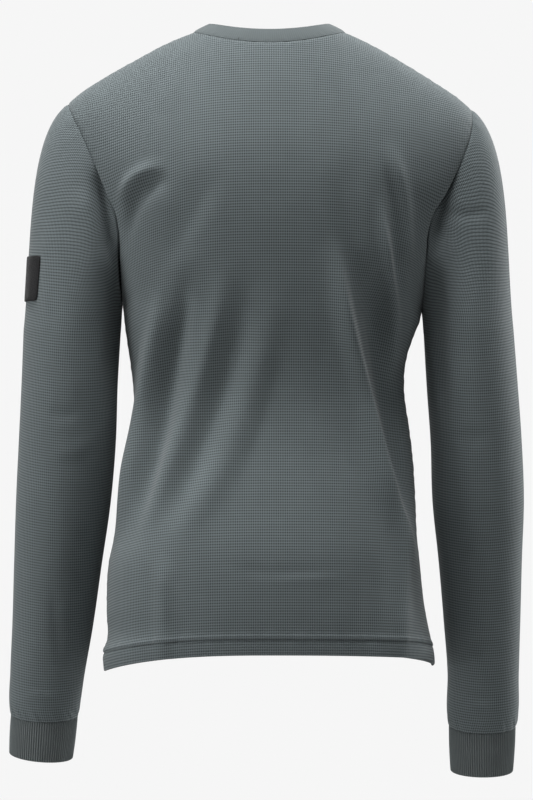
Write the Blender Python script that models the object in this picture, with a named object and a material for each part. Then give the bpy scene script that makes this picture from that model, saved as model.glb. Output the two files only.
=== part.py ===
"""Long-sleeved thermal top, filled out as it is worn.

Units are metres, +Z is up. The front faces -Y and the wearer's left is +X. The origin is the
middle of the neck opening, level with the two points where the shoulder seams meet the neckband.
Every piece is a closed wall of cloth, lofted through sections that the tables below give.
"""

from collections import namedtuple
from math import pi, radians

import bpy
import numpy as np

NAME = "thermal_top"

# Cloth and seams
KNIT_WALL = 0.0016
HEM_WALL = 0.0028
BAND_WALL = 0.0026
SEAM_GAP = 0.0003
HEM_DEPTH = 0.019
STITCH_GROOVE = 0.0007

# Torso
SQUARENESS = 2.4
SHOULDER_ROLL = 0.19
PANEL_LIFT = 1.6
COLUMN_SETTLE = 1.2
EDGE_BLEND = 3.0
TOP_BLEND = 6.0
FOLD_EDGE_FADE = 0.35
FOLD_END_FADE = 0.6

# Neck opening and its band
NECK_HALF_WIDTH = 0.0816
NECK_BACK = 0.060
NECK_FRONT = 0.088
NECK_DROP_BACK = 0.016
NECK_DROP_FRONT = 0.085
NECK_FRONT_ROUNDNESS = 0.62
NECK_FRONT_DIP = 1.2
NAPE_RISE_BACK = 0.030
NAPE_RISE_FRONT = 0.012
FRONT_NECK_SPREAD = 1.6
BAND_HEIGHT = 0.020
BAND_BOW = 0.0006
BAND_EDGE = 0.0012
BAND_EDGE_TUCK = 0.0009
BAND_LEAN_MIDDLE = radians(40)
BAND_LEAN_SIDE = radians(62)

# Sleeve caps
CAP_FULLNESS = 0.68
CAP_LEAN = 0.11
OVER_SHOULDER_OUT = 0.82
OVER_SHOULDER_DOWN = 0.57
UNDER_ARM_OUT = 0.15

# Ribbed cuffs
CUFF_RIBS = 80
RIB_HEIGHT = 0.0008
CUFF_EDGE = 0.0016
CUFF_EDGE_TUCK = 0.0005
CUFF_EDGE_RIB = 0.2

# Badge on the left sleeve
BADGE_TOP = -0.240
BADGE_BOTTOM = -0.288
BADGE_FIRST_STEP = -2
BADGE_LAST_STEP = 8
BADGE_STEPS_PER_FACET = 3
BADGE_THICKNESS = 0.0014
BADGE_GAP = 0.0005

# How finely each piece is divided
SHOULDER_COLUMNS = 7
BACK_NECK_COLUMNS = 16
FRONT_NECK_COLUMNS = 12
BODY_ROWS = 11
ARMHOLE_ROWS = 11
CAP_ROWS = 7
SLEEVE_ROWS = 11
BADGE_ROWS = 8
FOLD_SAMPLES = 80
LEAN_STEP = 0.010
SHARP_ANGLE = radians(40)

Hem = namedtuple("Hem", "left middle right left_curve right_curve")
HEMS = {
    1: Hem(-0.6825, -0.6574, -0.6770, 1.40, 0.65),
    -1: Hem(-0.6825, -0.6710, -0.6770, 1.20, 1.20),
}

Side = namedtuple("Side", "z left right")
SIDES = [
    Side(-0.683, 0.1768, 0.1775),
    Side(-0.661, 0.1768, 0.1750),
    Side(-0.650, 0.1735, 0.1725),
    Side(-0.617, 0.1737, 0.1660),
    Side(-0.564, 0.1710, 0.1602),
    Side(-0.543, 0.1664, 0.1580),
    Side(-0.500, 0.1608, 0.1562),
    Side(-0.457, 0.1550, 0.1536),
    Side(-0.415, 0.1465, 0.1484),
    Side(-0.393, 0.1446, 0.1450),
    Side(-0.371, 0.1463, 0.1441),
    Side(-0.350, 0.1490, 0.1463),
    Side(-0.328, 0.1523, 0.1527),
    Side(-0.307, 0.1550, 0.1602),
    Side(-0.289, 0.1565, 0.1630),
]

Depth = namedtuple("Depth", "z back front")
DEPTHS = [
    Depth(-0.681, 0.118, 0.106),
    Depth(-0.620, 0.121, 0.108),
    Depth(-0.560, 0.119, 0.107),
    Depth(-0.500, 0.108, 0.102),
    Depth(-0.440, 0.095, 0.099),
    Depth(-0.393, 0.089, 0.098),
    Depth(-0.340, 0.092, 0.102),
    Depth(-0.290, 0.099, 0.108),
    Depth(-0.240, 0.105, 0.114),
    Depth(-0.190, 0.108, 0.116),
    Depth(-0.140, 0.106, 0.111),
    Depth(-0.080, 0.100, 0.101),
    Depth(0.000, 0.092, 0.090),
]

Shoulder = namedtuple("Shoulder", "x left right")
SHOULDERS = [
    Shoulder(NECK_HALF_WIDTH, 0.0, 0.0),
    Shoulder(0.1010, -0.0075, -0.0090),
    Shoulder(0.1410, -0.0285, -0.0315),
    Shoulder(0.1780, -0.0495, -0.0545),
    Shoulder(0.2010, -0.0645, -0.0700),
    Shoulder(0.2150, -0.0765, -0.0820),
]

Armhole = namedtuple("Armhole", "z left right")
ARMHOLES = [
    Armhole(-0.292, 0.1565, 0.1630),
    Armhole(-0.250, 0.1575, 0.1655),
    Armhole(-0.210, 0.1595, 0.1690),
    Armhole(-0.196, 0.1625, 0.1735),
    Armhole(-0.177, 0.1710, 0.1855),
    Armhole(-0.156, 0.1795, 0.1960),
    Armhole(-0.134, 0.1885, 0.2060),
    Armhole(-0.115, 0.1970, 0.2125),
    Armhole(-0.093, 0.2080, 0.2160),
    Armhole(-0.077, 0.2149, 0.2152),
]

Loop = namedtuple("Loop", "top bottom back front")
ARMHOLE_LOOPS = {
    1: Loop(-0.0765, -0.289, 0.056, 0.052),
    -1: Loop(-0.0820, -0.297, 0.052, 0.052),
}

Section = namedtuple("Section", "z outer inner middle half_depth")
SLEEVES = {
    1: [
        Section(-0.320, 0.2628, 0.1590, 0.000, 0.0570),
        Section(-0.375, 0.2650, 0.1622, -0.001, 0.0560),
        Section(-0.435, 0.2680, 0.1642, -0.003, 0.0530),
        Section(-0.500, 0.2715, 0.1700, -0.008, 0.0500),
        Section(-0.565, 0.2742, 0.1797, -0.016, 0.0460),
        Section(-0.630, 0.2768, 0.1893, -0.026, 0.0420),
        Section(-0.690, 0.2800, 0.2000, -0.035, 0.0375),
        Section(-0.722, 0.2812, 0.2048, -0.040, 0.0350),
        Section(-0.7332, 0.2800, 0.2068, -0.042, 0.0335),
    ],
    -1: [
        Section(-0.320, 0.2612, 0.1650, 0.000, 0.0570),
        Section(-0.375, 0.2655, 0.1682, -0.001, 0.0560),
        Section(-0.435, 0.2700, 0.1725, -0.003, 0.0530),
        Section(-0.500, 0.2730, 0.1748, -0.008, 0.0505),
        Section(-0.565, 0.2715, 0.1818, -0.016, 0.0465),
        Section(-0.630, 0.2706, 0.1878, -0.026, 0.0425),
        Section(-0.690, 0.2695, 0.1925, -0.034, 0.0380),
        Section(-0.734, 0.2690, 0.1924, -0.040, 0.0352),
        Section(-0.7452, 0.2672, 0.1940, -0.042, 0.0337),
    ],
}

CUFFS = {
    1: [
        Section(-0.7335, 0.2792, 0.2076, -0.0420, 0.0325),
        Section(-0.7785, 0.2818, 0.2134, -0.0485, 0.0305),
    ],
    -1: [
        Section(-0.7455, 0.2664, 0.1948, -0.0420, 0.0325),
        Section(-0.7952, 0.2640, 0.1970, -0.0490, 0.0305),
    ],
}

HemRow = namedtuple("HemRow", "height sunk wall")
HEM_ROWS = [
    HemRow(0.0, 0.0008, KNIT_WALL),
    HemRow(0.0025, 0.0, HEM_WALL),
    HemRow(0.0165, 0.0, HEM_WALL),
    HemRow(HEM_DEPTH, STITCH_GROOVE, HEM_WALL - STITCH_GROOVE),
    HemRow(0.0215, 0.0, KNIT_WALL),
    HemRow(0.0330, 0.0, KNIT_WALL),
]

BandRow = namedtuple("BandRow", "up out wall")
BAND_ROWS = [
    BandRow(BAND_HEIGHT, -BAND_EDGE_TUCK, BAND_WALL - 2 * BAND_EDGE_TUCK),
    BandRow(BAND_HEIGHT - BAND_EDGE, 0.0, BAND_WALL),
    BandRow(BAND_HEIGHT / 2, BAND_BOW, BAND_WALL),
    BandRow(SEAM_GAP / 2, 0.0, BAND_WALL),
]

CuffRow = namedtuple("CuffRow", "share rib tuck")

Fold = namedtuple("Fold", "x1 z1 x2 z2 x3 z3 width height")
BACK_FOLDS = [
    Fold(0.015, -0.286, 0.058, -0.446, 0.132, -0.570, 0.013, 0.0055),
    Fold(0.044, -0.270, 0.080, -0.425, 0.140, -0.545, 0.011, -0.0055),
    Fold(0.066, -0.270, 0.104, -0.425, 0.150, -0.530, 0.011, 0.0050),
    Fold(0.104, -0.270, 0.118, -0.380, 0.154, -0.505, 0.012, -0.0060),
    Fold(0.132, -0.290, 0.139, -0.350, 0.143, -0.410, 0.010, 0.0030),
    Fold(-0.080, -0.250, -0.104, -0.400, -0.157, -0.560, 0.011, 0.0055),
    Fold(-0.104, -0.250, -0.119, -0.370, -0.150, -0.510, 0.014, -0.0070),
    Fold(-0.116, -0.195, -0.130, -0.285, -0.142, -0.372, 0.009, 0.0050),
    Fold(-0.127, -0.135, -0.145, -0.180, -0.148, -0.260, 0.010, 0.0035),
    Fold(0.166, -0.190, 0.152, -0.150, 0.112, -0.136, 0.009, 0.0040),
    Fold(0.156, -0.200, 0.143, -0.163, 0.108, -0.150, 0.009, -0.0040),
    Fold(0.119, -0.585, 0.117, -0.630, 0.115, -0.680, 0.010, 0.0030),
]
FRONT_FOLDS = [
    Fold(0.020, -0.300, 0.062, -0.430, 0.128, -0.550, 0.013, 0.0045),
    Fold(0.052, -0.300, 0.090, -0.420, 0.142, -0.520, 0.012, -0.0050),
    Fold(0.088, -0.270, 0.112, -0.380, 0.150, -0.490, 0.012, 0.0045),
    Fold(-0.060, -0.300, -0.092, -0.430, -0.145, -0.560, 0.013, 0.0045),
    Fold(-0.090, -0.280, -0.112, -0.390, -0.150, -0.500, 0.013, -0.0060),
    Fold(-0.150, -0.180, -0.120, -0.160, -0.085, -0.150, 0.011, 0.0035),
    Fold(0.148, -0.185, 0.118, -0.162, 0.080, -0.150, 0.011, 0.0035),
]

Finish = namedtuple("Finish", "red green blue roughness")
KNIT = Finish(0.105, 0.118, 0.122, 0.90)
RIB = Finish(0.095, 0.108, 0.112, 0.92)
PATCH = Finish(0.012, 0.012, 0.014, 0.65)


def read(rows, column, at):
    """Value of a table's column at the height or share at, on a smooth curve through its rows."""
    rows = sorted(rows)
    keys = np.array([row[0] for row in rows])
    values = np.array([getattr(row, column) for row in rows])
    slopes = np.gradient(values, keys)
    at = np.clip(at, keys[0], keys[-1])
    low = np.clip(np.searchsorted(keys, at) - 1, 0, len(keys) - 2)
    span = keys[low + 1] - keys[low]
    share = (at - keys[low]) / span
    rest = 1 - share
    value = values[low] * rest**2 * (1 + 2 * share)
    value = value + values[low + 1] * share**2 * (1 + 2 * rest)
    value = value + slopes[low] * span * share * rest**2
    return value - slopes[low + 1] * span * share**2 * rest


def unit(vectors):
    """Vectors scaled to length 1."""
    return vectors / np.linalg.norm(vectors, axis=-1, keepdims=True)


def normals(points, closed):
    """Outward unit normals of a grid of points, whose rows run round the piece when closed."""
    along = np.gradient(points, axis=0)
    if closed:
        across = np.roll(points, -1, axis=1) - np.roll(points, 1, axis=1)
    else:
        across = np.gradient(points, axis=1)
    return unit(np.cross(along, across))


def fold_height(x, z, folds):
    """How far the folds raise or sink the cloth at each point of the plane seen from behind."""
    height = np.zeros_like(x)
    share = np.linspace(0, 1, FOLD_SAMPLES)
    for fold in folds:
        bend_x = 2 * fold.x2 - (fold.x1 + fold.x3) / 2
        bend_z = 2 * fold.z2 - (fold.z1 + fold.z3) / 2
        path_x = (1 - share)**2 * fold.x1 + 2 * share * (1 - share) * bend_x + share**2 * fold.x3
        path_z = (1 - share)**2 * fold.z1 + 2 * share * (1 - share) * bend_z + share**2 * fold.z3
        away = np.hypot(x[..., None] - path_x, z[..., None] - path_z)
        nearest = np.argmin(away, axis=-1)
        fade = (4 * share * (1 - share))**FOLD_END_FADE
        height += fold.height * fade[nearest] * np.exp(-(np.min(away, axis=-1) / fold.width)**2)
    return height


def add_wall(name, outer, inner, closed, finish):
    """Close an outer and an inner grid of points into one solid wall, and dress it."""
    rows, columns = outer.shape[:2]
    points = np.concatenate([outer.reshape(-1, 3), inner.reshape(-1, 3)])
    inside = rows * columns
    faces = []

    def quad(a, b, c, d):
        faces.extend([(a, b, c), (a, c, d)])

    bands = columns if closed else columns - 1
    for row in range(rows - 1):
        for column in range(bands):
            a = row * columns + column
            b = row * columns + (column + 1) % columns
            c = b + columns
            d = a + columns
            quad(a, d, c, b)
            quad(a + inside, b + inside, c + inside, d + inside)
    for column in range(bands):
        a = column
        b = (column + 1) % columns
        quad(a, b, b + inside, a + inside)
        a += (rows - 1) * columns
        b += (rows - 1) * columns
        quad(a, a + inside, b + inside, b)
    if not closed:
        for row in range(rows - 1):
            a = row * columns
            b = a + columns
            quad(a, a + inside, b + inside, b)
            a += columns - 1
            b += columns - 1
            quad(a, b, b + inside, a + inside)

    mesh = bpy.data.meshes.new(name)
    mesh.from_pydata(points.tolist(), [], faces)
    mesh.shade_smooth()
    mesh.set_sharp_from_angle(angle=SHARP_ANGLE)
    mesh.materials.append(make_material(name, finish))
    piece = bpy.data.objects.new(name, mesh)
    bpy.data.collections[NAME].objects.link(piece)
    return piece


def make_material(name, finish):
    """A plain cloth material in the piece's own colour."""
    material = bpy.data.materials.new(name)
    material.use_nodes = True
    shader = material.node_tree.nodes["Principled BSDF"]
    shader.inputs["Base Color"].default_value = (finish.red, finish.green, finish.blue, 1.0)
    shader.inputs["Roughness"].default_value = finish.roughness
    shader.inputs["Metallic"].default_value = 0.0
    return material


def neck_loop(angle):
    """Points of the neck seam, from 0 at the middle of the back to pi at the middle front."""
    across = np.sin(angle)
    back = np.clip(np.cos(angle), 0, None)
    front = np.clip(-np.cos(angle), 0, None)
    return np.stack([
        NECK_HALF_WIDTH * across,
        NECK_BACK * back - NECK_FRONT * front**NECK_FRONT_ROUNDNESS,
        -NECK_DROP_BACK * back**2 - NECK_DROP_FRONT * front**NECK_FRONT_DIP,
    ], axis=-1)


def neck_directions(angle):
    """Outward normal of the cloth at the neck seam, and the way from the panel into the band."""
    lean = BAND_LEAN_MIDDLE + (BAND_LEAN_SIDE - BAND_LEAN_MIDDLE) * np.sin(angle)**2
    radial = np.stack([np.sin(angle), np.cos(angle), np.zeros_like(angle)], axis=-1)
    up = np.array([0.0, 0.0, 1.0])
    outward = radial * np.cos(lean)[..., None] + up * np.sin(lean)[..., None]
    upward = -radial * np.sin(lean)[..., None] + up * np.cos(lean)[..., None]
    return outward, upward


def armhole_loop(side, angle):
    """Points of an armhole seam, from 0 at the shoulder over the back to pi under the arm."""
    loop = ARMHOLE_LOOPS[side]
    middle = (loop.top + loop.bottom) / 2
    z = middle + (loop.top - middle) * np.cos(angle)
    x = read(ARMHOLES, "left" if side > 0 else "right", z)
    reach = np.where(np.sin(angle) > 0, loop.back, loop.front)
    return np.stack([side * x, reach * np.sin(angle), z], axis=-1)


def armhole_normal(side, angle):
    """Outward normal of the cloth at an armhole seam, in the plane of the seam's loop."""
    loop = ARMHOLE_LOOPS[side]
    reach = np.where(np.sin(angle) > 0, loop.back, loop.front)
    half_height = (loop.top - loop.bottom) / 2
    return unit(np.stack([
        np.zeros_like(angle),
        np.sin(angle) / reach,
        np.cos(angle) / half_height,
    ], axis=-1))


def neck_angles(face):
    """Angles along the back or front half of the neck seam, from the right to the left."""
    if face > 0:
        return np.linspace(-pi / 2, pi / 2, BACK_NECK_COLUMNS + 1)
    share = np.linspace(-1, 1, FRONT_NECK_COLUMNS + 1)
    swing = np.sign(share) * (1 - (1 - np.abs(share))**FRONT_NECK_SPREAD)
    return pi - swing * pi / 2


def panel_top(face):
    """The top edge of a panel, from the right shoulder point over the neck seam to the left."""
    x = np.linspace(SHOULDERS[-1].x, NECK_HALF_WIDTH, SHOULDER_COLUMNS + 1)
    flat = np.zeros_like(x)
    right = np.stack([-x, flat, read(SHOULDERS, "right", x)], axis=-1)
    left = np.stack([x, flat, read(SHOULDERS, "left", x)], axis=-1)[::-1]
    angle = neck_angles(face)
    neck = neck_loop(angle)
    _, upward = neck_directions(angle)
    neck = neck - upward * SEAM_GAP / 2
    return np.concatenate([right[:-1], neck, left[1:]]), angle


def shoulder_line(face, x):
    """Height of the body's top line, which goes on over the neck opening as a low nape."""
    nape = NAPE_RISE_BACK if face > 0 else NAPE_RISE_FRONT
    sides = np.where(x > 0, read(SHOULDERS, "left", np.abs(x)), read(SHOULDERS, "right", np.abs(x)))
    return np.where(np.abs(x) < NECK_HALF_WIDTH, nape * (1 - (x / NECK_HALF_WIDTH)**2), sides)


def chest_depth(face, x, z, x_edge, y_edge):
    """Depth of the body's surface above the underarm, on sections cut off at the armholes."""
    depth = read(DEPTHS, "back" if face > 0 else "front", z)
    reach = x_edge / (1 - (y_edge / depth)**SQUARENESS)**(1 / SQUARENESS)
    arch = np.clip(1 - (np.abs(x) / reach)**SQUARENESS, 0, None)**(1 / SQUARENESS)
    fall = np.clip((shoulder_line(face, x) - z) / SHOULDER_ROLL, 0, 1)
    return depth * arch * np.sqrt(1 - (1 - fall)**2)


def panel_points(face, folds):
    """Outer points, fold heights and wall of the back panel (face 1) or front panel (face -1)."""
    depth_column = "back" if face > 0 else "front"
    hem = HEMS[face]
    top, neck_angle = panel_top(face)
    columns = len(top)
    turn = np.linspace(-pi / 2, pi / 2, columns)
    body_share = np.sign(turn) * np.abs(np.sin(turn))**(2 / SQUARENESS)
    top_share = top[:, 0] / abs(top[0, 0])
    mix = (np.sin(turn) + 1) / 2
    right, left = ARMHOLE_LOOPS[-1], ARMHOLE_LOOPS[1]
    underarm = right.bottom * (1 - mix) + left.bottom * mix
    shoulder = right.top * (1 - mix) + left.top * mix
    hem_side = hem.right * (1 - mix) + hem.left * mix
    hem_curve = np.where(turn > 0, hem.left_curve, hem.right_curve)
    hem_rise = (hem.middle - hem_side) * np.abs(np.cos(turn))**hem_curve

    outer, walls, sunk = [], [], []
    heights = [row.height for row in HEM_ROWS]
    body_height = left.bottom - hem.left
    heights += list(np.linspace(heights[-1], body_height, BODY_ROWS + 1)[1:])
    for count, height in enumerate(heights):
        share = height / body_height
        edge = hem_side * (1 - share) + underarm * share
        half = np.where(turn > 0, read(SIDES, "left", edge), read(SIDES, "right", edge))
        x = half * body_share
        y = read(DEPTHS, depth_column, edge) * np.abs(np.cos(turn))**(2 / SQUARENESS)
        z = edge + hem_rise * (1 - share)**2
        outer.append(np.stack([x, y, z], axis=-1))
        walls.append(HEM_ROWS[count].wall if count < len(HEM_ROWS) else KNIT_WALL)
        sunk.append(HEM_ROWS[count].sunk if count < len(HEM_ROWS) else 0.0)

    for row in range(1, ARMHOLE_ROWS + 1):
        share = row / ARMHOLE_ROWS
        angle = np.array(pi * (1 - share))
        seams = {side: armhole_loop(side, face * angle) for side in (1, -1)}
        settle = share**COLUMN_SETTLE
        x_share = body_share * (1 - settle) + top_share * settle
        x_edge = np.where(turn > 0, seams[1][0], -seams[-1][0])
        y_edge = np.where(turn > 0, abs(seams[1][1]), abs(seams[-1][1]))
        x = x_edge * x_share
        z = seams[-1][2] * (1 - mix) + seams[1][2] * mix
        z = z + (top[:, 2] - shoulder) * share**PANEL_LIFT
        y = chest_depth(face, x, z, x_edge, y_edge)
        short = y_edge - np.where(turn > 0, y[-1], y[0])
        y = y + short * np.abs(x_share)**EDGE_BLEND
        if row == ARMHOLE_ROWS:
            missing = np.abs(top[:, 1]) - y
        outer.append(np.stack([x, y, z], axis=-1))
        walls.append(KNIT_WALL)
        sunk.append(0.0)
    for row in range(1, ARMHOLE_ROWS + 1):
        outer[row - ARMHOLE_ROWS - 1][:, 1] += missing * (row / ARMHOLE_ROWS)**TOP_BLEND
    outer[-1] = top * (1, face, 1)

    outer = np.array(outer)
    outer[..., 1] += SEAM_GAP / 2
    rises = fold_height(outer[..., 0], outer[..., 2], folds)
    edge_fade = np.clip(np.cos(turn) / FOLD_EDGE_FADE, 0, 1)
    rises = rises * edge_fade - np.array(sunk)[:, None]
    outer = outer * (1, face, 1)
    if face < 0:
        outer = outer[:, ::-1]
        rises = rises[:, ::-1]
    return outer, rises, np.array(walls), neck_angle


def add_panel(name, face, folds):
    """The back or front panel: an open shell from the turned-up hem to shoulders and neck."""
    outer, rises, walls, neck_angle = panel_points(face, folds)
    outward = normals(outer, closed=False)
    outer = outer + outward * rises[..., None]
    outward = normals(outer, closed=False)

    underarm_row = len(outer) - 1 - ARMHOLE_ROWS
    shoulder_columns = list(range(SHOULDER_COLUMNS + 1))
    shoulder_columns += list(range(outer.shape[1] - SHOULDER_COLUMNS - 1, outer.shape[1]))
    outward[:underarm_row, 0, 1] = 0
    outward[:underarm_row, -1, 1] = 0
    outward[-1, shoulder_columns, 1] = 0
    outward = unit(outward)
    neck_out, _ = neck_directions(neck_angle)
    if face < 0:
        neck_out = neck_out[::-1]
    outward[-1, SHOULDER_COLUMNS:SHOULDER_COLUMNS + len(neck_out)] = neck_out
    angle = face * np.linspace(pi, 0, ARMHOLE_ROWS + 1)
    for column, side in ((0, -face), (-1, face)):
        outward[underarm_row:, column] = armhole_normal(side, angle)
        outer[underarm_row:, column, 0] -= side * SEAM_GAP / 2
    inner = outer - outward * walls[:, None, None]
    return add_wall(name, outer, inner, closed=False, finish=KNIT)


def ring(side, row, slope, angle, grow=0.0):
    """Points round an arm at one section, square to the arm's axis there."""
    axis = unit(np.array([slope[0], slope[1], 1.0]))
    across = unit(np.array([1.0, 0.0, 0.0]) - axis[0] * axis)
    deep = np.cross(axis, across)
    half_width = (row.outer - row.inner) / 2 + grow
    half_depth = row.half_depth + grow
    centre = np.array([side * (row.outer + row.inner) / 2, row.middle, row.z])
    return centre + (side * half_width * np.cos(angle)[:, None] * across
                     + half_depth * np.sin(angle)[:, None] * deep)


def section_at(rows, z):
    """The section of a sleeve or cuff at a height, and how far its axis leans per metre."""
    values = [read(rows, column, z) for column in ("outer", "inner", "middle", "half_depth")]
    row = Section(z, *values)
    high = min(z + LEAN_STEP, rows[0].z)
    low = max(z - LEAN_STEP, rows[-1].z)
    run = high - low
    lean_x = sum(read(rows, c, high) - read(rows, c, low) for c in ("outer", "inner")) / (2 * run)
    lean_y = (read(rows, "middle", high) - read(rows, "middle", low)) / run
    return row, lean_x, lean_y


def sleeve_points(side):
    """Outer points of a sleeve, rows from the armhole seam down to the cuff seam."""
    columns = 2 * ARMHOLE_ROWS
    angle = side * np.linspace(0, 2 * pi, columns, endpoint=False)
    seam = armhole_loop(side, np.arctan2(np.sin(angle), np.cos(angle)))
    seam[:, 0] += side * SEAM_GAP / 2
    rows = SLEEVES[side]
    row, lean_x, lean_y = section_at(rows, rows[0].z)
    first_ring = ring(side, row, (side * lean_x, lean_y), angle)

    chord = np.linalg.norm(first_ring - seam, axis=1)[:, None]
    outside = ((1 + np.cos(angle)) / 2)[:, None]
    over_shoulder = np.array([side * OVER_SHOULDER_OUT, 0.0, -OVER_SHOULDER_DOWN])
    under_arm = np.array([side * UNDER_ARM_OUT, 0.0, -1.0])
    start = unit(over_shoulder * outside + under_arm * (1 - outside)) * chord * CAP_FULLNESS
    end = np.array([side * CAP_LEAN, 0.0, -1.0]) * chord
    points = []
    for share in np.linspace(0, 1, CAP_ROWS + 1):
        rest = 1 - share
        points.append(seam * rest**2 * (1 + 2 * share) + first_ring * share**2 * (1 + 2 * rest)
                      + start * share * rest**2 - end * share**2 * rest)
    heights = list(np.linspace(rows[0].z, rows[-2].z, SLEEVE_ROWS + 1)[1:]) + [rows[-1].z]
    for z in heights:
        row, lean_x, lean_y = section_at(rows, z)
        points.append(ring(side, row, (side * lean_x, lean_y), angle))
    return np.array(points), angle


def add_sleeve(name, side):
    """A set-in sleeve: a tube from the armhole seam to the cuff seam."""
    outer, angle = sleeve_points(side)
    outward = normals(outer, closed=True)
    outward[0] = armhole_normal(side, np.arctan2(np.sin(angle), np.cos(angle)))
    rows = SLEEVES[side]
    _, lean_x, lean_y = section_at(rows, rows[-1].z)
    axis = unit(np.array([side * lean_x, lean_y, 1.0]))
    outward[-1] = unit(outward[-1] - (outward[-1] @ axis)[:, None] * axis)
    inner = outer - outward * KNIT_WALL
    return add_wall(name, outer, inner, closed=True, finish=KNIT)


def add_cuff(name, side):
    """A double cuff of rib knit: ribs stand up from the outer wall, the inside is plain."""
    top, bottom = CUFFS[side]
    sleeve_rows = SLEEVES[side]
    _, sleeve_lean_x, sleeve_lean_y = section_at(sleeve_rows, sleeve_rows[-1].z)
    run = top.z - bottom.z
    lean_x = (top.outer + top.inner - bottom.outer - bottom.inner) / 2 / run
    lean_y = (top.middle - bottom.middle) / run
    columns = 2 * CUFF_RIBS
    angle = side * np.linspace(0, 2 * pi, columns, endpoint=False)
    rib = np.where(np.arange(columns) % 2 == 0, RIB_HEIGHT / 2, -RIB_HEIGHT / 2)[:, None]
    bevel = CUFF_EDGE / run
    cuff_rows = [
        CuffRow(0.0, CUFF_EDGE_RIB, CUFF_EDGE_TUCK),
        CuffRow(bevel, 1.0, 0.0),
        CuffRow(1 - bevel, 1.0, 0.0),
        CuffRow(1.0, CUFF_EDGE_RIB, CUFF_EDGE_TUCK),
    ]
    outer, inner = [], []
    for place in cuff_rows:
        row = Section(*[a + (b - a) * place.share for a, b in zip(top, bottom)])
        slope_x = sleeve_lean_x + (lean_x - sleeve_lean_x) * place.share
        slope_y = sleeve_lean_y + (lean_y - sleeve_lean_y) * place.share
        slope = (side * slope_x, slope_y)
        plain = ring(side, row, slope, angle)
        inside = ring(side, row, slope, angle, grow=-BAND_WALL)
        outward = unit(plain - inside)
        outer.append(plain + outward * (rib * place.rib - place.tuck))
        inner.append(inside)
    return add_wall(name, np.array(outer), np.array(inner), closed=True, finish=RIB)


def add_neckband(name):
    """The neckband: a folded band that leans inwards, on the points of the neck seam."""
    angle = np.concatenate([neck_angles(1), neck_angles(-1)[::-1][1:-1]])[::-1]
    loop = neck_loop(angle)
    outward, upward = neck_directions(angle)
    outer, inner = [], []
    for row in BAND_ROWS:
        line = loop + upward * row.up + outward * row.out
        outer.append(line)
        inner.append(line - outward * row.wall)
    return add_wall(name, np.array(outer), np.array(inner), closed=True, finish=RIB)


def add_badge(name, side=1):
    """A square sewn-on patch, lifted off the faceted outer wall of the left sleeve."""
    sleeve, _ = sleeve_points(side)
    columns = sleeve.shape[1]
    place = np.arange(BADGE_FIRST_STEP, BADGE_LAST_STEP + 1) / BADGE_STEPS_PER_FACET
    low = np.floor(place).astype(int)
    share = (place - low)[None, :, None]
    strips = sleeve[:, low % columns] * (1 - share) + sleeve[:, (low + 1) % columns] * share
    heights = np.linspace(BADGE_TOP, BADGE_BOTTOM, BADGE_ROWS + 1)
    points = np.zeros((len(heights), len(place), 3))
    for column in range(len(place)):
        strip = strips[::-1, column]
        for axis in range(3):
            points[:, column, axis] = np.interp(heights, strip[:, 2], strip[:, axis])
    outward = normals(points, closed=False)
    inner = points + outward * BADGE_GAP
    outer = inner + outward * BADGE_THICKNESS
    return add_wall(name, outer, inner, closed=False, finish=PATCH)


def build():
    """Build the eight pieces of the top in their own collection."""
    for old in list(bpy.data.objects):
        bpy.data.objects.remove(old, do_unlink=True)
    collection = bpy.data.collections.new(NAME)
    bpy.context.scene.collection.children.link(collection)
    add_panel("back", 1, BACK_FOLDS)
    add_panel("front", -1, FRONT_FOLDS)
    add_sleeve("sleeve_left", 1)
    add_sleeve("sleeve_right", -1)
    add_cuff("cuff_left", 1)
    add_cuff("cuff_right", -1)
    add_neckband("neckband")
    add_badge("badge")


build()
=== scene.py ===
"""Looks of a long-sleeved thermal top, filled out as it is worn.

Units are metres and +Z is up. The front faces -Y and the wearer's left is +X. Every piece of cloth
is a thin wall on the form of its solid, divided finely enough for creases, puckers, ribs and the
turned-up hem. The waffle knit is too fine to be raised as a mesh, so its material raises it with
bump and paints shade into its hollows.
"""

import logging
from dataclasses import dataclass
from enum import Enum
from math import pi, radians, sin
from typing import NamedTuple

import bpy
import numpy as np
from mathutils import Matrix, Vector


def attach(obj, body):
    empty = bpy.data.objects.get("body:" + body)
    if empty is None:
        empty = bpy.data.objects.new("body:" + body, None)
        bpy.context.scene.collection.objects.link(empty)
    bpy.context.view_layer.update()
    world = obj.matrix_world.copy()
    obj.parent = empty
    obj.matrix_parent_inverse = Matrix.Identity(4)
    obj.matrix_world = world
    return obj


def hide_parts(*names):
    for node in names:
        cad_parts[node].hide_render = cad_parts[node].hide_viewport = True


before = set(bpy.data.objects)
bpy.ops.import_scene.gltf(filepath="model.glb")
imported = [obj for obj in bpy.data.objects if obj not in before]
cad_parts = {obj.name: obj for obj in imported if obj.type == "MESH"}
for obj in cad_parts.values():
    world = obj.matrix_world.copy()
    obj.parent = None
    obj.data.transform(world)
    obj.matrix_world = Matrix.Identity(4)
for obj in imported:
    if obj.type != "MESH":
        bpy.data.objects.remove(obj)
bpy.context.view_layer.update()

LOG = logging.getLogger("thermal_top")
BODY = "root"

KNIT_WALL = 0.0016
HEM_WALL = 0.0028
BAND_WALL = 0.0026
SEAM_GAP = 0.0003
HEM_DEPTH = 0.019
SQUARENESS = 2.4
SHARP_ANGLE = radians(55)
END_ROUNDNESS = 0.97
FLANK_SHARPNESS = 1e5
RIPPLE_WAVES = ((1.0, 0.5), (0.62, 0.3), (1.73, 0.35))
SPECULAR = 0.25
NAP_ROUGHNESS = 0.5
WEAVE_MAP = "Weave"
BAKE_MAP = "OFBake"


class Side(Enum):
    """The wearer's sides, with the sign of their x."""

    LEFT = 1
    RIGHT = -1


class Face(Enum):
    """The back and front of the top, with the sign of their y."""

    BACK = 1
    FRONT = -1


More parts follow.
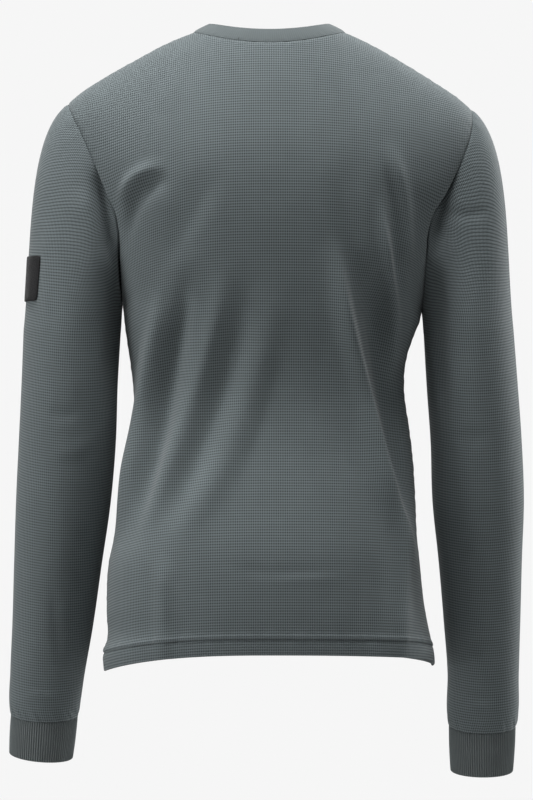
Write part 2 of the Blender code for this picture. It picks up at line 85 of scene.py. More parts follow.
class Hem(NamedTuple):
    """Heights of a panel's lower edge and how its two halves curve."""

    left: float
    middle: float
    right: float
    left_curve: float
    right_curve: float


class BodyEdge(NamedTuple):
    """Half widths of the body at one height."""

    z: float
    left: float
    right: float


class Depth(NamedTuple):
    """Depths of the body behind and before the side seams at one height."""

    z: float
    back: float
    front: float


class Shoulder(NamedTuple):
    """Heights of the shoulder seams at one distance from the middle."""

    x: float
    left: float
    right: float


class ArmholeEdge(NamedTuple):
    """How far out the armhole seams lie at one height."""

    z: float
    left: float
    right: float


class Section(NamedTuple):
    """An oval section of a sleeve or cuff."""

    z: float
    outer: float
    inner: float
    middle: float
    half_depth: float


class Crease(NamedTuple):
    """A ridge or trough on a curve through three points seen from behind.

    A height below 0 makes a trough. The lean, from -1 to 1, makes one flank wider than the other.
    """

    x1: float
    z1: float
    x2: float
    z2: float
    x3: float
    z3: float
    width: float
    height: float
    lean: float = 0.0


class Swell(NamedTuple):
    """A rounded ridge or groove along an edge: its height, its distance from the edge and its width."""

    height: float
    away: float
    width: float

    def at(self, distance: np.ndarray) -> np.ndarray:
        """Return its height at the given distances from the edge."""
        return self.height * np.exp(-((distance - self.away) / self.width)**2)


class Speckle(NamedTuple):
    """Unevenness of a cloth: the width of its patches, how far it swings each way, and its detail."""

    grain: float
    by: float
    detail: float = 2.0


HEMS = {
    Face.BACK: Hem(-0.6825, -0.6574, -0.6770, 1.40, 0.65),
    Face.FRONT: Hem(-0.6825, -0.6710, -0.6770, 1.20, 1.20),
}

BODY_EDGES = [
    BodyEdge(-0.683, 0.1768, 0.1775),
    BodyEdge(-0.661, 0.1768, 0.1750),
    BodyEdge(-0.650, 0.1735, 0.1725),
    BodyEdge(-0.617, 0.1737, 0.1660),
    BodyEdge(-0.564, 0.1710, 0.1602),
    BodyEdge(-0.543, 0.1664, 0.1580),
    BodyEdge(-0.500, 0.1608, 0.1562),
    BodyEdge(-0.457, 0.1550, 0.1536),
    BodyEdge(-0.415, 0.1465, 0.1484),
    BodyEdge(-0.393, 0.1446, 0.1450),
    BodyEdge(-0.371, 0.1463, 0.1441),
    BodyEdge(-0.350, 0.1490, 0.1463),
    BodyEdge(-0.328, 0.1523, 0.1527),
    BodyEdge(-0.307, 0.1550, 0.1602),
    BodyEdge(-0.289, 0.1565, 0.1630),
]

DEPTHS = [
    Depth(-0.681, 0.118, 0.106),
    Depth(-0.620, 0.121, 0.108),
    Depth(-0.560, 0.119, 0.107),
    Depth(-0.500, 0.108, 0.102),
    Depth(-0.440, 0.095, 0.099),
    Depth(-0.393, 0.089, 0.098),
    Depth(-0.340, 0.092, 0.102),
    Depth(-0.290, 0.099, 0.108),
    Depth(-0.240, 0.105, 0.114),
    Depth(-0.190, 0.108, 0.116),
    Depth(-0.140, 0.106, 0.111),
    Depth(-0.080, 0.100, 0.101),
    Depth(0.000, 0.092, 0.090),
]

SHOULDERS = [
    Shoulder(0.0816, 0.0, 0.0),
    Shoulder(0.1010, -0.0075, -0.0090),
    Shoulder(0.1410, -0.0285, -0.0315),
    Shoulder(0.1780, -0.0495, -0.0545),
    Shoulder(0.2010, -0.0645, -0.0700),
    Shoulder(0.2150, -0.0765, -0.0820),
]

ARMHOLE_EDGES = [
    ArmholeEdge(-0.292, 0.1565, 0.1630),
    ArmholeEdge(-0.250, 0.1575, 0.1655),
    ArmholeEdge(-0.210, 0.1595, 0.1690),
    ArmholeEdge(-0.196, 0.1625, 0.1735),
    ArmholeEdge(-0.177, 0.1710, 0.1855),
    ArmholeEdge(-0.156, 0.1795, 0.1960),
    ArmholeEdge(-0.134, 0.1885, 0.2060),
    ArmholeEdge(-0.115, 0.1970, 0.2125),
    ArmholeEdge(-0.093, 0.2080, 0.2160),
    ArmholeEdge(-0.077, 0.2149, 0.2152),
]

SLEEVE_SECTIONS = {
    Side.LEFT: [
        Section(-0.320, 0.2628, 0.1590, 0.000, 0.0570),
        Section(-0.375, 0.2650, 0.1622, -0.001, 0.0560),
        Section(-0.435, 0.2680, 0.1642, -0.003, 0.0530),
        Section(-0.500, 0.2715, 0.1700, -0.008, 0.0500),
        Section(-0.565, 0.2742, 0.1797, -0.016, 0.0460),
        Section(-0.630, 0.2768, 0.1893, -0.026, 0.0420),
        Section(-0.690, 0.2800, 0.2000, -0.035, 0.0375),
        Section(-0.722, 0.2812, 0.2048, -0.040, 0.0350),
        Section(-0.7332, 0.2800, 0.2068, -0.042, 0.0335),
    ],
    Side.RIGHT: [
        Section(-0.320, 0.2612, 0.1650, 0.000, 0.0570),
        Section(-0.375, 0.2655, 0.1682, -0.001, 0.0560),
        Section(-0.435, 0.2700, 0.1725, -0.003, 0.0530),
        Section(-0.500, 0.2730, 0.1748, -0.008, 0.0505),
        Section(-0.565, 0.2715, 0.1818, -0.016, 0.0465),
        Section(-0.630, 0.2706, 0.1878, -0.026, 0.0425),
        Section(-0.690, 0.2695, 0.1925, -0.034, 0.0380),
        Section(-0.734, 0.2690, 0.1924, -0.040, 0.0352),
        Section(-0.7452, 0.2672, 0.1940, -0.042, 0.0337),
    ],
}

CUFF_ENDS = {
    Side.LEFT: (
        Section(-0.7335, 0.2792, 0.2076, -0.0420, 0.0325),
        Section(-0.7785, 0.2818, 0.2134, -0.0485, 0.0305),
    ),
    Side.RIGHT: (
        Section(-0.7455, 0.2664, 0.1948, -0.0420, 0.0325),
        Section(-0.7952, 0.2640, 0.1970, -0.0490, 0.0305),
    ),
}

BACK_CREASES = [
    Crease(0.114, -0.262, 0.133, -0.400, 0.176, -0.570, 0.0095, 0.0088),
    Crease(0.084, -0.245, 0.107, -0.390, 0.160, -0.580, 0.0115, -0.0092),
    Crease(0.044, -0.236, 0.079, -0.390, 0.141, -0.538, 0.0110, 0.0052),
    Crease(0.019, -0.238, 0.056, -0.408, 0.126, -0.545, 0.0125, -0.0045),
    Crease(-0.012, -0.238, 0.034, -0.425, 0.117, -0.562, 0.0160, 0.0046),
    Crease(-0.066, -0.215, -0.100, -0.385, -0.162, -0.600, 0.0098, 0.0135, 0.35),
    Crease(-0.096, -0.230, -0.127, -0.385, -0.164, -0.560, 0.0148, -0.0160),
    Crease(-0.112, -0.178, -0.127, -0.272, -0.138, -0.380, 0.0058, 0.0062),
    Crease(-0.119, -0.140, -0.131, -0.212, -0.133, -0.290, 0.0055, -0.0036),
    Crease(-0.118, -0.118, -0.142, -0.188, -0.140, -0.288, 0.0070, 0.0036),
    Crease(0.162, -0.222, 0.149, -0.168, 0.104, -0.148, 0.0060, 0.0056),
    Crease(0.152, -0.236, 0.137, -0.182, 0.098, -0.163, 0.0078, -0.0058),
    Crease(0.111, -0.546, 0.110, -0.612, 0.110, -0.690, 0.0100, 0.0040),
    Crease(0.131, -0.322, 0.135, -0.354, 0.141, -0.388, 0.0028, 0.0009),
    Crease(0.046, -0.140, 0.084, -0.206, 0.124, -0.270, 0.0170, -0.0026, 0.30),
    Crease(-0.092, -0.112, -0.082, -0.205, -0.094, -0.290, 0.0150, -0.0024),
    Crease(-0.141, -0.490, -0.140, -0.580, -0.139, -0.690, 0.0090, 0.0056),
    Crease(-0.108, -0.540, -0.105, -0.610, -0.104, -0.672, 0.0120, -0.0020),
    Crease(0.058, -0.562, -0.012, -0.571, -0.086, -0.566, 0.0060, -0.0006),
    Crease(0.006, -0.585, -0.040, -0.577, -0.090, -0.581, 0.0055, 0.0005),
    Crease(-0.100, -0.030, -0.122, -0.056, -0.150, -0.088, 0.0170, -0.0009),
    Crease(0.108, -0.036, 0.124, -0.074, 0.134, -0.122, 0.0150, -0.0009),
    Crease(-0.014, -0.320, 0.002, -0.400, 0.036, -0.490, 0.0080, -0.0008, -0.30),
    Crease(-0.048, -0.300, -0.064, -0.400, -0.096, -0.500, 0.0120, -0.0016, 0.20),
    Crease(0.128, -0.560, 0.124, -0.600, 0.125, -0.650, 0.0070, -0.0007),
]

FRONT_CREASES = [
    Crease(0.020, -0.300, 0.062, -0.430, 0.128, -0.550, 0.0130, 0.0045),
    Crease(0.052, -0.300, 0.090, -0.420, 0.142, -0.520, 0.0120, -0.0050),
    Crease(0.088, -0.270, 0.112, -0.380, 0.150, -0.490, 0.0120, 0.0045),
    Crease(-0.060, -0.300, -0.092, -0.430, -0.145, -0.560, 0.0130, 0.0045),
    Crease(-0.090, -0.280, -0.112, -0.390, -0.150, -0.500, 0.0130, -0.0060),
    Crease(-0.158, -0.212, -0.147, -0.180, -0.128, -0.156, 0.0100, 0.0030),
    Crease(0.156, -0.204, 0.143, -0.172, 0.118, -0.144, 0.0110, 0.0030),
    Crease(0.148, -0.228, 0.132, -0.200, 0.104, -0.188, 0.0100, -0.0014, 0.3),
    Crease(-0.151, -0.236, -0.138, -0.204, -0.116, -0.180, 0.0090, -0.0012),
    Crease(0.060, -0.560, 0.002, -0.572, -0.070, -0.562, 0.0070, -0.0008),
    Crease(-0.126, -0.500, -0.130, -0.580, -0.132, -0.660, 0.0090, 0.0014),
    Crease(0.122, -0.560, 0.120, -0.610, 0.118, -0.668, 0.0090, 0.0016),
    Crease(0.104, -0.020, 0.112, -0.060, 0.108, -0.110, 0.0120, -0.0010),
    Crease(-0.102, -0.020, -0.110, -0.065, -0.104, -0.115, 0.0120, -0.0010),
]

LEFT_SLEEVE_CREASES = {
    Face.BACK: [
        Crease(0.2345, -0.195, 0.2360, -0.255, 0.2350, -0.325, 0.0050, 0.0009),
        Crease(0.1830, -0.140, 0.1730, -0.200, 0.1590, -0.270, 0.0085, -0.0090),
        Crease(0.1660, -0.235, 0.1640, -0.310, 0.1720, -0.420, 0.0095, -0.0045),
        Crease(0.2000, -0.165, 0.1920, -0.215, 0.1800, -0.285, 0.0120, 0.0026),
        Crease(0.2300, -0.585, 0.2280, -0.630, 0.2230, -0.685, 0.0060, -0.0009),
        Crease(0.2000, -0.395, 0.2150, -0.410, 0.2400, -0.402, 0.0070, -0.0009, 0.3),
        Crease(0.1850, -0.425, 0.2050, -0.446, 0.2300, -0.440, 0.0080, 0.0009),
        Crease(0.2120, -0.695, 0.2360, -0.702, 0.2620, -0.694, 0.0040, -0.0007),
        Crease(0.2200, -0.712, 0.2420, -0.709, 0.2680, -0.712, 0.0040, 0.0006),
    ],
    Face.FRONT: [
        Crease(0.1880, -0.400, 0.2120, -0.418, 0.2400, -0.404, 0.0080, -0.0022, 0.3),
        Crease(0.1840, -0.440, 0.2100, -0.452, 0.2360, -0.446, 0.0090, 0.0018),
        Crease(0.1960, -0.470, 0.2200, -0.486, 0.2460, -0.474, 0.0070, -0.0014),
        Crease(0.1900, -0.165, 0.1800, -0.200, 0.1680, -0.240, 0.0070, -0.0020),
        Crease(0.2160, -0.690, 0.2400, -0.700, 0.2650, -0.690, 0.0050, -0.0009),
    ],
}

RIGHT_SLEEVE_CREASES = {
    Face.BACK: [
        Crease(-0.1780, -0.192, -0.2080, -0.198, -0.2380, -0.190, 0.0055, -0.0011),
        Crease(-0.1920, -0.130, -0.1820, -0.185, -0.1700, -0.250, 0.0095, -0.0085),
        Crease(-0.1760, -0.240, -0.1800, -0.330, -0.1860, -0.440, 0.0100, -0.0045),
        Crease(-0.2060, -0.240, -0.2120, -0.360, -0.2160, -0.520, 0.0110, 0.0010),
        Crease(-0.2350, -0.420, -0.2180, -0.432, -0.1960, -0.424, 0.0080, -0.0009),
        Crease(-0.2400, -0.640, -0.2200, -0.648, -0.2040, -0.640, 0.0070, 0.0006),
        Crease(-0.2560, -0.706, -0.2300, -0.712, -0.2060, -0.704, 0.0045, -0.0007),
        Crease(-0.2540, -0.726, -0.2300, -0.722, -0.2080, -0.726, 0.0040, 0.0006),
    ],
    Face.FRONT: [
        Crease(-0.1900, -0.400, -0.2150, -0.416, -0.2430, -0.404, 0.0080, -0.0022, 0.3),
        Crease(-0.1880, -0.442, -0.2120, -0.455, -0.2400, -0.446, 0.0090, 0.0018),
        Crease(-0.1960, -0.474, -0.2200, -0.490, -0.2460, -0.476, 0.0070, -0.0014),
        Crease(-0.1960, -0.165, -0.1860, -0.200, -0.1740, -0.240, 0.0070, -0.0020),
        Crease(-0.2060, -0.700, -0.2300, -0.710, -0.2540, -0.700, 0.0050, -0.0009),
    ],
}


def read(rows: list[tuple], column: str, at: np.ndarray) -> np.ndarray:
    """Read a table's column on a smooth curve through its rows.

    Args:
        rows: The table, keyed by each row's first value.
        column: The name of the column.
        at: The heights or places to read at.

    Returns:
        The column's values there.
    """
    rows = sorted(rows)
    keys = np.array([row[0] for row in rows])
    values = np.array([getattr(row, column) for row in rows])
    slopes = np.gradient(values, keys)
    at = np.clip(at, keys[0], keys[-1])
    low = np.clip(np.searchsorted(keys, at) - 1, 0, len(keys) - 2)
    span = keys[low + 1] - keys[low]
    share = (at - keys[low]) / span
    rest = 1 - share
    value = values[low] * rest**2 * (1 + 2 * share)
    value = value + values[low + 1] * share**2 * (1 + 2 * rest)
    value = value + slopes[low] * span * share * rest**2
    return value - slopes[low + 1] * span * share**2 * rest


def unit(vectors: np.ndarray) -> np.ndarray:
    """Return the vectors scaled to length 1."""
    return vectors / np.linalg.norm(vectors, axis=-1, keepdims=True)


def smooth_step(share: np.ndarray) -> np.ndarray:
    """Return a soft step from 0 to 1 as share goes from 0 to 1."""
    share = np.clip(share, 0, 1)
    return share * share * (3 - 2 * share)


def normals(points: np.ndarray, closed: bool) -> np.ndarray:
    """Work out the outward directions of a grid of points.

    Args:
        points: The grid, rows by columns by 3.
        closed: Whether its rows run all round the piece.

    Returns:
        Unit normals, in the grid's shape.
    """
    along = np.gradient(points, axis=0)
    if closed:
        across = np.roll(points, -1, axis=1) - np.roll(points, 1, axis=1)
    else:
        across = np.gradient(points, axis=1)
    return unit(np.cross(along, across))


def crease_path(crease: Crease, steps: int = 20) -> np.ndarray:
    """Return points on the crease's curve, as a list of (x, z).

    Args:
        crease: The crease.
        steps: How many stretches the curve is cut into.

    Returns:
        The curve's points, each an x and a z.
    """
    share = np.linspace(0, 1, steps + 1)[:, None]
    first = np.array([crease.x1, crease.z1])
    last = np.array([crease.x3, crease.z3])
    bend = 2 * np.array([crease.x2, crease.z2]) - (first + last) / 2
    return (1 - share)**2 * first + 2 * share * (1 - share) * bend + share**2 * last


def crease_relief(x: np.ndarray, z: np.ndarray, creases: list[Crease],
                  end_share: float = 0.32) -> np.ndarray:
    """Work out how far creases raise or sink the cloth.

    Args:
        x: The points' places across.
        z: The points' heights.
        creases: The creases.
        end_share: The share of a crease over which each end fades away.

    Returns:
        The height of the relief at each point.
    """
    relief = np.zeros_like(x)
    for crease in creases:
        path = crease_path(crease)
        count = len(path) - 1
        nearest = np.full(x.shape, np.inf)
        place = np.zeros_like(x)
        flank = np.zeros_like(x)
        for number in range(count):
            start = path[number]
            run = path[number + 1] - start
            out_x = x - start[0]
            out_z = z - start[1]
            share = np.clip((out_x * run[0] + out_z * run[1]) / (run @ run), 0, 1)
            out_x = out_x - share * run[0]
            out_z = out_z - share * run[1]
            apart = out_x**2 + out_z**2
            closer = apart < nearest
            nearest = np.where(closer, apart, nearest)
            place = np.where(closer, (number + share) / count, place)
            turned = np.tanh((run[0] * out_z - run[1] * out_x) * FLANK_SHARPNESS)
            flank = np.where(closer, turned, flank)
        fade = smooth_step(place / end_share) * smooth_step((1 - place) / end_share)
        width = crease.width * (1 + crease.lean * flank)
        relief += crease.height * fade * np.exp(-nearest / width**2)
    return relief


def ripple(along: np.ndarray, wavelength: float, seed: int) -> np.ndarray:
    """Make an uneven wave between about -1 and 1.

    Args:
        along: The distance along the seam, in metres.
        wavelength: The mean length of a wave.
        seed: The seed of the wave's phases.

    Returns:
        The wave at each distance.
    """
    random = np.random.default_rng(seed)
    wave = np.zeros_like(along)
    for stretch, weight in RIPPLE_WAVES:
        phase = random.uniform(0, 2 * pi)
        wave = wave + weight * np.sin(2 * pi * along / (wavelength * stretch) + phase)
    return wave


def lengths_along(points: np.ndarray, axis: int) -> np.ndarray:
    """Add up the distances between neighbours along one axis of a grid, from 0.

    Args:
        points: The grid, or a list of points.
        axis: The axis to go along.

    Returns:
        The length up to each point.
    """
    steps = np.linalg.norm(np.diff(points, axis=axis), axis=-1)
    start = np.zeros_like(np.take(steps, [0], axis=axis))
    return np.concatenate([start, np.cumsum(steps, axis=axis)], axis=axis)


def along_path(values: np.ndarray, reach: np.ndarray, at: np.ndarray) -> np.ndarray:
    """Read points or directions between the ones given along a path.

    Args:
        values: The points or directions.
        reach: How far along the path each one lies.
        at: How far along to read.

    Returns:
        The points or directions there.
    """
    return np.stack([np.interp(at, reach, values[:, axis]) for axis in range(3)], axis=-1)


def end_tuck(away: float, radius: float) -> float:
    """Work out how far a band's rounded end draws its two faces in.

    Args:
        away: The distance from the end.
        radius: Half of the band's wall.

    Returns:
        How far each face is drawn in there.
    """
    below = max(radius - away, 0.0) * END_ROUNDNESS
    return radius - (radius**2 - below**2)**0.5


def weave_of(points: np.ndarray, closed: bool, courses: np.ndarray | None = None) -> np.ndarray:
    """Work out where each point lies in the flat cloth.

    Args:
        points: The grid, whose first row is the edge that the courses are parallel to.
        closed: Whether its rows run all round the piece.
        courses: The directions of the courses at each point, where they leave the rows.

    Returns:
        Places in metres: across from the middle column, and up from the first row. A closed
        grid has one more column, where the rows meet again.
    """
    if closed:
        points = np.concatenate([points, points[:, :1]], axis=1)
    if courses is None:
        across = lengths_along(points, 1)
        tangent = unit(np.gradient(points, axis=1))[1:]
    else:
        widths = np.sum(np.diff(points, axis=1) * (courses[:, 1:] + courses[:, :-1]) / 2, axis=-1)
        across = np.concatenate([np.zeros_like(widths[:, :1]), np.cumsum(widths, axis=1)], axis=1)
        tangent = courses[1:]
    middle = across.shape[1] // 2
    across = across - across[:, middle:middle + 1]
    rise = np.diff(points, axis=0)
    rise = rise - np.sum(rise * tangent, axis=-1, keepdims=True) * tangent
    up = np.cumsum(np.linalg.norm(rise, axis=-1), axis=0)
    up = np.concatenate([np.zeros_like(up[:1]), up])
    return np.stack([across, up], axis=-1)


def sample(grid: np.ndarray, row: np.ndarray, column: np.ndarray) -> np.ndarray:
    """Read a grid of points between its rows and columns.

    Args:
        grid: The grid, rows by columns by 3.
        row: Row places, whole or not.
        column: Column places, whole or not.

    Returns:
        The points there.
    """
    low_row = np.clip(np.floor(row).astype(int), 0, grid.shape[0] - 2)
    low_column = np.clip(np.floor(column).astype(int), 0, grid.shape[1] - 2)
    up = (row - low_row)[..., None]
    over = (column - low_column)[..., None]
    near = grid[low_row, low_column] * (1 - over) + grid[low_row, low_column + 1] * over
    far = grid[low_row + 1, low_column] * (1 - over) + grid[low_row + 1, low_column + 1] * over
    return near * (1 - up) + far * up


class Patch(NamedTuple):
    """Faces with one number of corners: their points, places in the cloth and places on the bake."""

    corners: np.ndarray
    weave: np.ndarray
    bake: np.ndarray


class BakeArea(NamedTuple):
    """A rectangle of the bake map."""

    left: float
    right: float
    low: float
    high: float


OUTER_AREA = BakeArea(0.012, 0.640, 0.015, 0.985)
INNER_AREA = BakeArea(0.665, 0.990, 0.015, 0.985)
RIM_MARGIN = 0.008


def mesh_from(name: str, points: np.ndarray, patches: list[Patch]) -> bpy.types.Mesh:
    """Make a smooth-shaded mesh from patches of faces.

    Args:
        name: The mesh's name.
        points: Its points.
        patches: Its faces.

    Returns:
        The mesh, with the weave and bake maps.
    """
    sizes = np.concatenate([np.full(len(p.corners), p.corners.shape[1]) for p in patches])
    corners = np.concatenate([p.corners.ravel() for p in patches])
    mesh = bpy.data.meshes.new(name)
    mesh.vertices.add(len(points))
    mesh.vertices.foreach_set("co", points.astype(np.float32).ravel())
    mesh.loops.add(len(corners))
    mesh.loops.foreach_set("vertex_index", corners.astype(np.int32))
    mesh.polygons.add(len(sizes))
    starts = np.concatenate([[0], np.cumsum(sizes)[:-1]])
    mesh.polygons.foreach_set("loop_start", starts.astype(np.int32))
    mesh.update(calc_edges=True)
    layers = {WEAVE_MAP: [p.weave for p in patches], BAKE_MAP: [p.bake for p in patches]}
    for layer_name, places in layers.items():
        layer = mesh.uv_layers.new(name=layer_name)
        flat = np.concatenate([place.reshape(-1, 2) for place in places])
        layer.data.foreach_set("uv", flat.astype(np.float32).ravel())
    mesh.shade_smooth()
    mesh.set_sharp_from_angle(angle=SHARP_ANGLE)
    return mesh


def grid_patch(index: np.ndarray, weave: np.ndarray, bake: np.ndarray, outward: bool) -> Patch:
    """Make the quads of a grid.

    Args:
        index: The grid's point numbers.
        weave: Their places in the cloth.
        bake: Their places on the bake map.
        outward: Whether the faces look along the grid's outward normals.

    Returns:
        The quads.
    """
    def ring_of(grid: np.ndarray) -> np.ndarray:
        """Return the four corners of each cell, in order.

        Args:
            grid: The corners' numbers or places, rows by columns.

        Returns:
            One row for each cell.
        """
        cells = [grid[:-1, :-1], grid[1:, :-1], grid[1:, 1:], grid[:-1, 1:]]
        if not outward:
            cells = cells[::-1]
        ring = np.stack(cells, axis=2)
        return ring.reshape(-1, 4, *grid.shape[2:])

    return Patch(ring_of(index), ring_of(weave), ring_of(bake))


def bake_grid(rows: int, columns: int, area: BakeArea) -> np.ndarray:
    """Spread a grid's points over an area of the bake map.

    Args:
        rows: The grid's rows.
        columns: Its columns.
        area: The area.

    Returns:
        The points' places on the map.
    """
    across = np.linspace(area.left, area.right, columns)
    up = np.linspace(area.low, area.high, rows)
    return np.stack(np.meshgrid(across, up), axis=-1)


@dataclass
class Wall:
    """A closed wall of cloth between a fine outer grid and a coarser inner one."""

    outer: np.ndarray
    inner: np.ndarray
    weave: np.ndarray
    closed: bool
    coarse: int = 2

    def kept(self, count: int) -> np.ndarray:
        """Return the rows or columns that the inner grid keeps."""
        return np.unique(np.append(np.arange(0, count, self.coarse), count - 1))

    def rim(self, outer: np.ndarray, inner: np.ndarray, kept: np.ndarray, weave: np.ndarray,
            bake: np.ndarray, push: tuple[float, float], forward: bool) -> list[Patch]:
        """Close the wall along one edge.

        Args:
            outer: The outer grid's point numbers along the edge.
            inner: The inner grid's point numbers along it.
            kept: Which outer points the inner ones lie under.
            weave: The outer points' places in the cloth.
            bake: Their places on the bake map.
            push: How far the rim's inner side is moved on the bake map.
            forward: Whether the faces run with the edge.

        Returns:
            One patch for each face.
        """
        faces = []
        for number, (first, last) in enumerate(zip(kept[:-1], kept[1:])):
            corners = np.append(outer[first:last + 1], [inner[number + 1], inner[number]])
            places = np.concatenate([weave[first:last + 1], weave[[last, first]]])
            baked = np.concatenate([bake[first:last + 1], bake[[last, first]] + push])
            step = 1 if forward else -1
            faces.append(Patch(corners[None, ::step], places[None, ::step], baked[None, ::step]))
        return faces

    def mesh(self, name: str) -> bpy.types.Mesh:
        """Make the wall's mesh under the given name.

        Args:
            name: The mesh's name.

        Returns:
            The mesh.
        """
        rows, columns = self.outer.shape[:2]
        across = columns + 1 if self.closed else columns
        index = np.arange(rows * columns).reshape(rows, columns)
        kept_rows = self.kept(rows)
        kept_columns = self.kept(across)
        own_columns = kept_columns[:-1] if self.closed else kept_columns
        inner_points = self.inner[np.ix_(kept_rows, own_columns)]
        inner_index = rows * columns + np.arange(len(kept_rows) * len(own_columns))
        inner_index = inner_index.reshape(len(kept_rows), len(own_columns))
        if self.closed:
            index = np.concatenate([index, index[:, :1]], axis=1)
            inner_index = np.concatenate([inner_index, inner_index[:, :1]], axis=1)
        bake = bake_grid(rows, across, OUTER_AREA)
        inner_bake = bake_grid(rows, across, INNER_AREA)
        cells = np.ix_(kept_rows, kept_columns)
        patches = [
            grid_patch(index, self.weave, bake, outward=True),
            grid_patch(inner_index, self.weave[cells], inner_bake[cells], outward=False),
        ]
        ends = ((0, -RIM_MARGIN, True), (-1, RIM_MARGIN, False))
        for end, push, forward in ends:
            patches += self.rim(index[end], inner_index[end], kept_columns, self.weave[end],
                                bake[end], (0, push), forward)
        if not self.closed:
            for end, push, forward in ends:
                patches += self.rim(index[:, end], inner_index[:, end], kept_rows, self.weave[:, end],
                                    bake[:, end], (push, 0), not forward)
        points = np.concatenate([self.outer.reshape(-1, 3), inner_points.reshape(-1, 3)])
        return mesh_from(name, points, patches)


def add_piece(name: str, mesh: bpy.types.Mesh, material: bpy.types.Material,
              node: str | None = None) -> bpy.types.Object:
    """Place a mesh on the body, dressed.

    Args:
        name: The piece's name.
        mesh: Its mesh.
        material: Its material.
        node: The solid that it stands for, if it stands for one.

    Returns:
        The piece.
    """
    mesh.materials.append(material)
    piece = bpy.data.objects.new(name, mesh)
    bpy.context.scene.collection.objects.link(piece)
    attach(piece, BODY)
    if node is not None:
        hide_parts(node)
    return piece


class Graph:
    """Adds shader nodes to a material and joins them."""

    def __init__(self, name: str) -> None:
        """Start a material with an empty graph but for its shader and output.

        Args:
            name: The material's name.
        """
        self.material = bpy.data.materials.new(name)
        self.material.use_nodes = True
        self.tree = self.material.node_tree
        self.shader = self.tree.nodes["Principled BSDF"]

    def node(self, kind: str, **sockets: object) -> bpy.types.Node:
        """Add a node.

        Args:
            kind: The node's type.
            sockets: Values or joined outputs for its inputs, spaces as underscores.

        Returns:
            The node.
        """
        made = self.tree.nodes.new(kind)
        for name, value in sockets.items():
            self.put(made.inputs[name.replace("_", " ")], value)
        return made

    def put(self, socket: bpy.types.NodeSocket, value: object) -> None:
        """Join an output to a socket, or set the socket's value.

        Args:
            socket: The socket.
            value: The output, or the value.
        """
        if isinstance(value, bpy.types.NodeSocket):
            self.tree.links.new(value, socket)
        else:
            socket.default_value = value

    def math(self, operation: str, *values: object) -> bpy.types.NodeSocket:
        """Return the result of a math node on numbers or outputs.

        Args:
            operation: What the node does.
            values: The numbers or outputs that it works on.

        Returns:
            The node's output.
        """
        made = self.tree.nodes.new("ShaderNodeMath")
        made.operation = operation
        for socket, value in zip(made.inputs, values):
            self.put(socket, value)
        return made.outputs[0]

    def weave(self) -> tuple[bpy.types.NodeSocket, bpy.types.NodeSocket, bpy.types.NodeSocket]:
        """Return the places across and up the cloth, and both as one vector.

        Returns:
            The place across, the place up, and the vector.
        """
        made = self.tree.nodes.new("ShaderNodeUVMap")
        made.uv_map = WEAVE_MAP
        parts = self.node("ShaderNodeSeparateXYZ", Vector=made.outputs["UV"])
        return parts.outputs["X"], parts.outputs["Y"], made.outputs["UV"]

    def noise(self, place: bpy.types.NodeSocket, grain: float, detail: float = 2.0) -> bpy.types.NodeSocket:
        """Return noise whose patches are about grain metres wide, from about 0 to 1."""
        return self.node("ShaderNodeTexNoise", Vector=place, Scale=1 / grain, Detail=detail).outputs["Fac"]

    def swing(self, noise: bpy.types.NodeSocket, by: float) -> bpy.types.NodeSocket:
        """Return noise turned into a number around 0 that reaches about by each way."""
        return self.math("MULTIPLY", self.math("SUBTRACT", noise, 0.5), 2 * by)

    def speckle(self, place: bpy.types.NodeSocket, speckle: Speckle) -> bpy.types.NodeSocket:
        """Return the unevenness at each place, a number around 0."""
        return self.swing(self.noise(place, speckle.grain, speckle.detail), speckle.by)

    def uneven_shade(self, dark: bpy.types.NodeSocket, place: bpy.types.NodeSocket, fibres: Speckle,
                     mottle: Speckle) -> bpy.types.NodeSocket:
        """Work out what a cloth's colour is multiplied by.

        Args:
            dark: How much painted shade darkens its hollows, from 0 to 1.
            place: The place in the cloth.
            fibres: The unevenness of its fibres.
            mottle: Its unevenness in wider patches.

        Returns:
            The shade.
        """
        shade = self.math("SUBTRACT", 1.0, dark)
        stray = self.math("ADD", self.speckle(place, fibres), self.speckle(place, mottle))
        return self.math("MULTIPLY", shade, self.math("ADD", 1.0, stray))

    def groove(self, place: bpy.types.NodeSocket, pitch: float, drift: bpy.types.NodeSocket,
               sharpness: float) -> bpy.types.NodeSocket:
        """Return a row of grooves.

        Args:
            place: The place across the grooves, in metres.
            pitch: Their distance.
            drift: How far they wander, in pitches.
            sharpness: How narrow they are.

        Returns:
            1 in the middle of a groove and 0 between grooves.
        """
        turns = self.math("ADD", self.math("DIVIDE", place, pitch), drift)
        wave = self.math("COSINE", self.math("MULTIPLY", turns, 2 * pi))
        raised = self.math("MULTIPLY_ADD", wave, 0.5, 0.5)
        return self.math("POWER", raised, sharpness)

    def finish(self, colour: tuple[float, float, float], shade: bpy.types.NodeSocket,
               height: bpy.types.NodeSocket, depth: float, roughness: float,
               sheen: float) -> bpy.types.Material:
        """Dress the shader.

        Args:
            colour: The cloth's colour, linear.
            shade: What the colour is multiplied by.
            height: The relief, from 0 to 1.
            depth: The relief's depth in metres.
            roughness: The shader's roughness.
            sheen: The weight of the nap's sheen.

        Returns:
            The material.
        """
        tint = self.node("ShaderNodeVectorMath")
        tint.operation = "SCALE"
        tint.inputs[0].default_value = colour
        self.put(tint.inputs["Scale"], shade)
        self.put(self.shader.inputs["Base Color"], tint.outputs["Vector"])
        bump = self.node("ShaderNodeBump", Height=height, Distance=depth, Strength=1.0)
        self.put(self.shader.inputs["Normal"], bump.outputs["Normal"])
        self.shader.inputs["Roughness"].default_value = roughness
        self.shader.inputs["Specular IOR Level"].default_value = SPECULAR
        self.shader.inputs["Sheen Weight"].default_value = sheen
        self.shader.inputs["Sheen Roughness"].default_value = NAP_ROUGHNESS
        return self.material


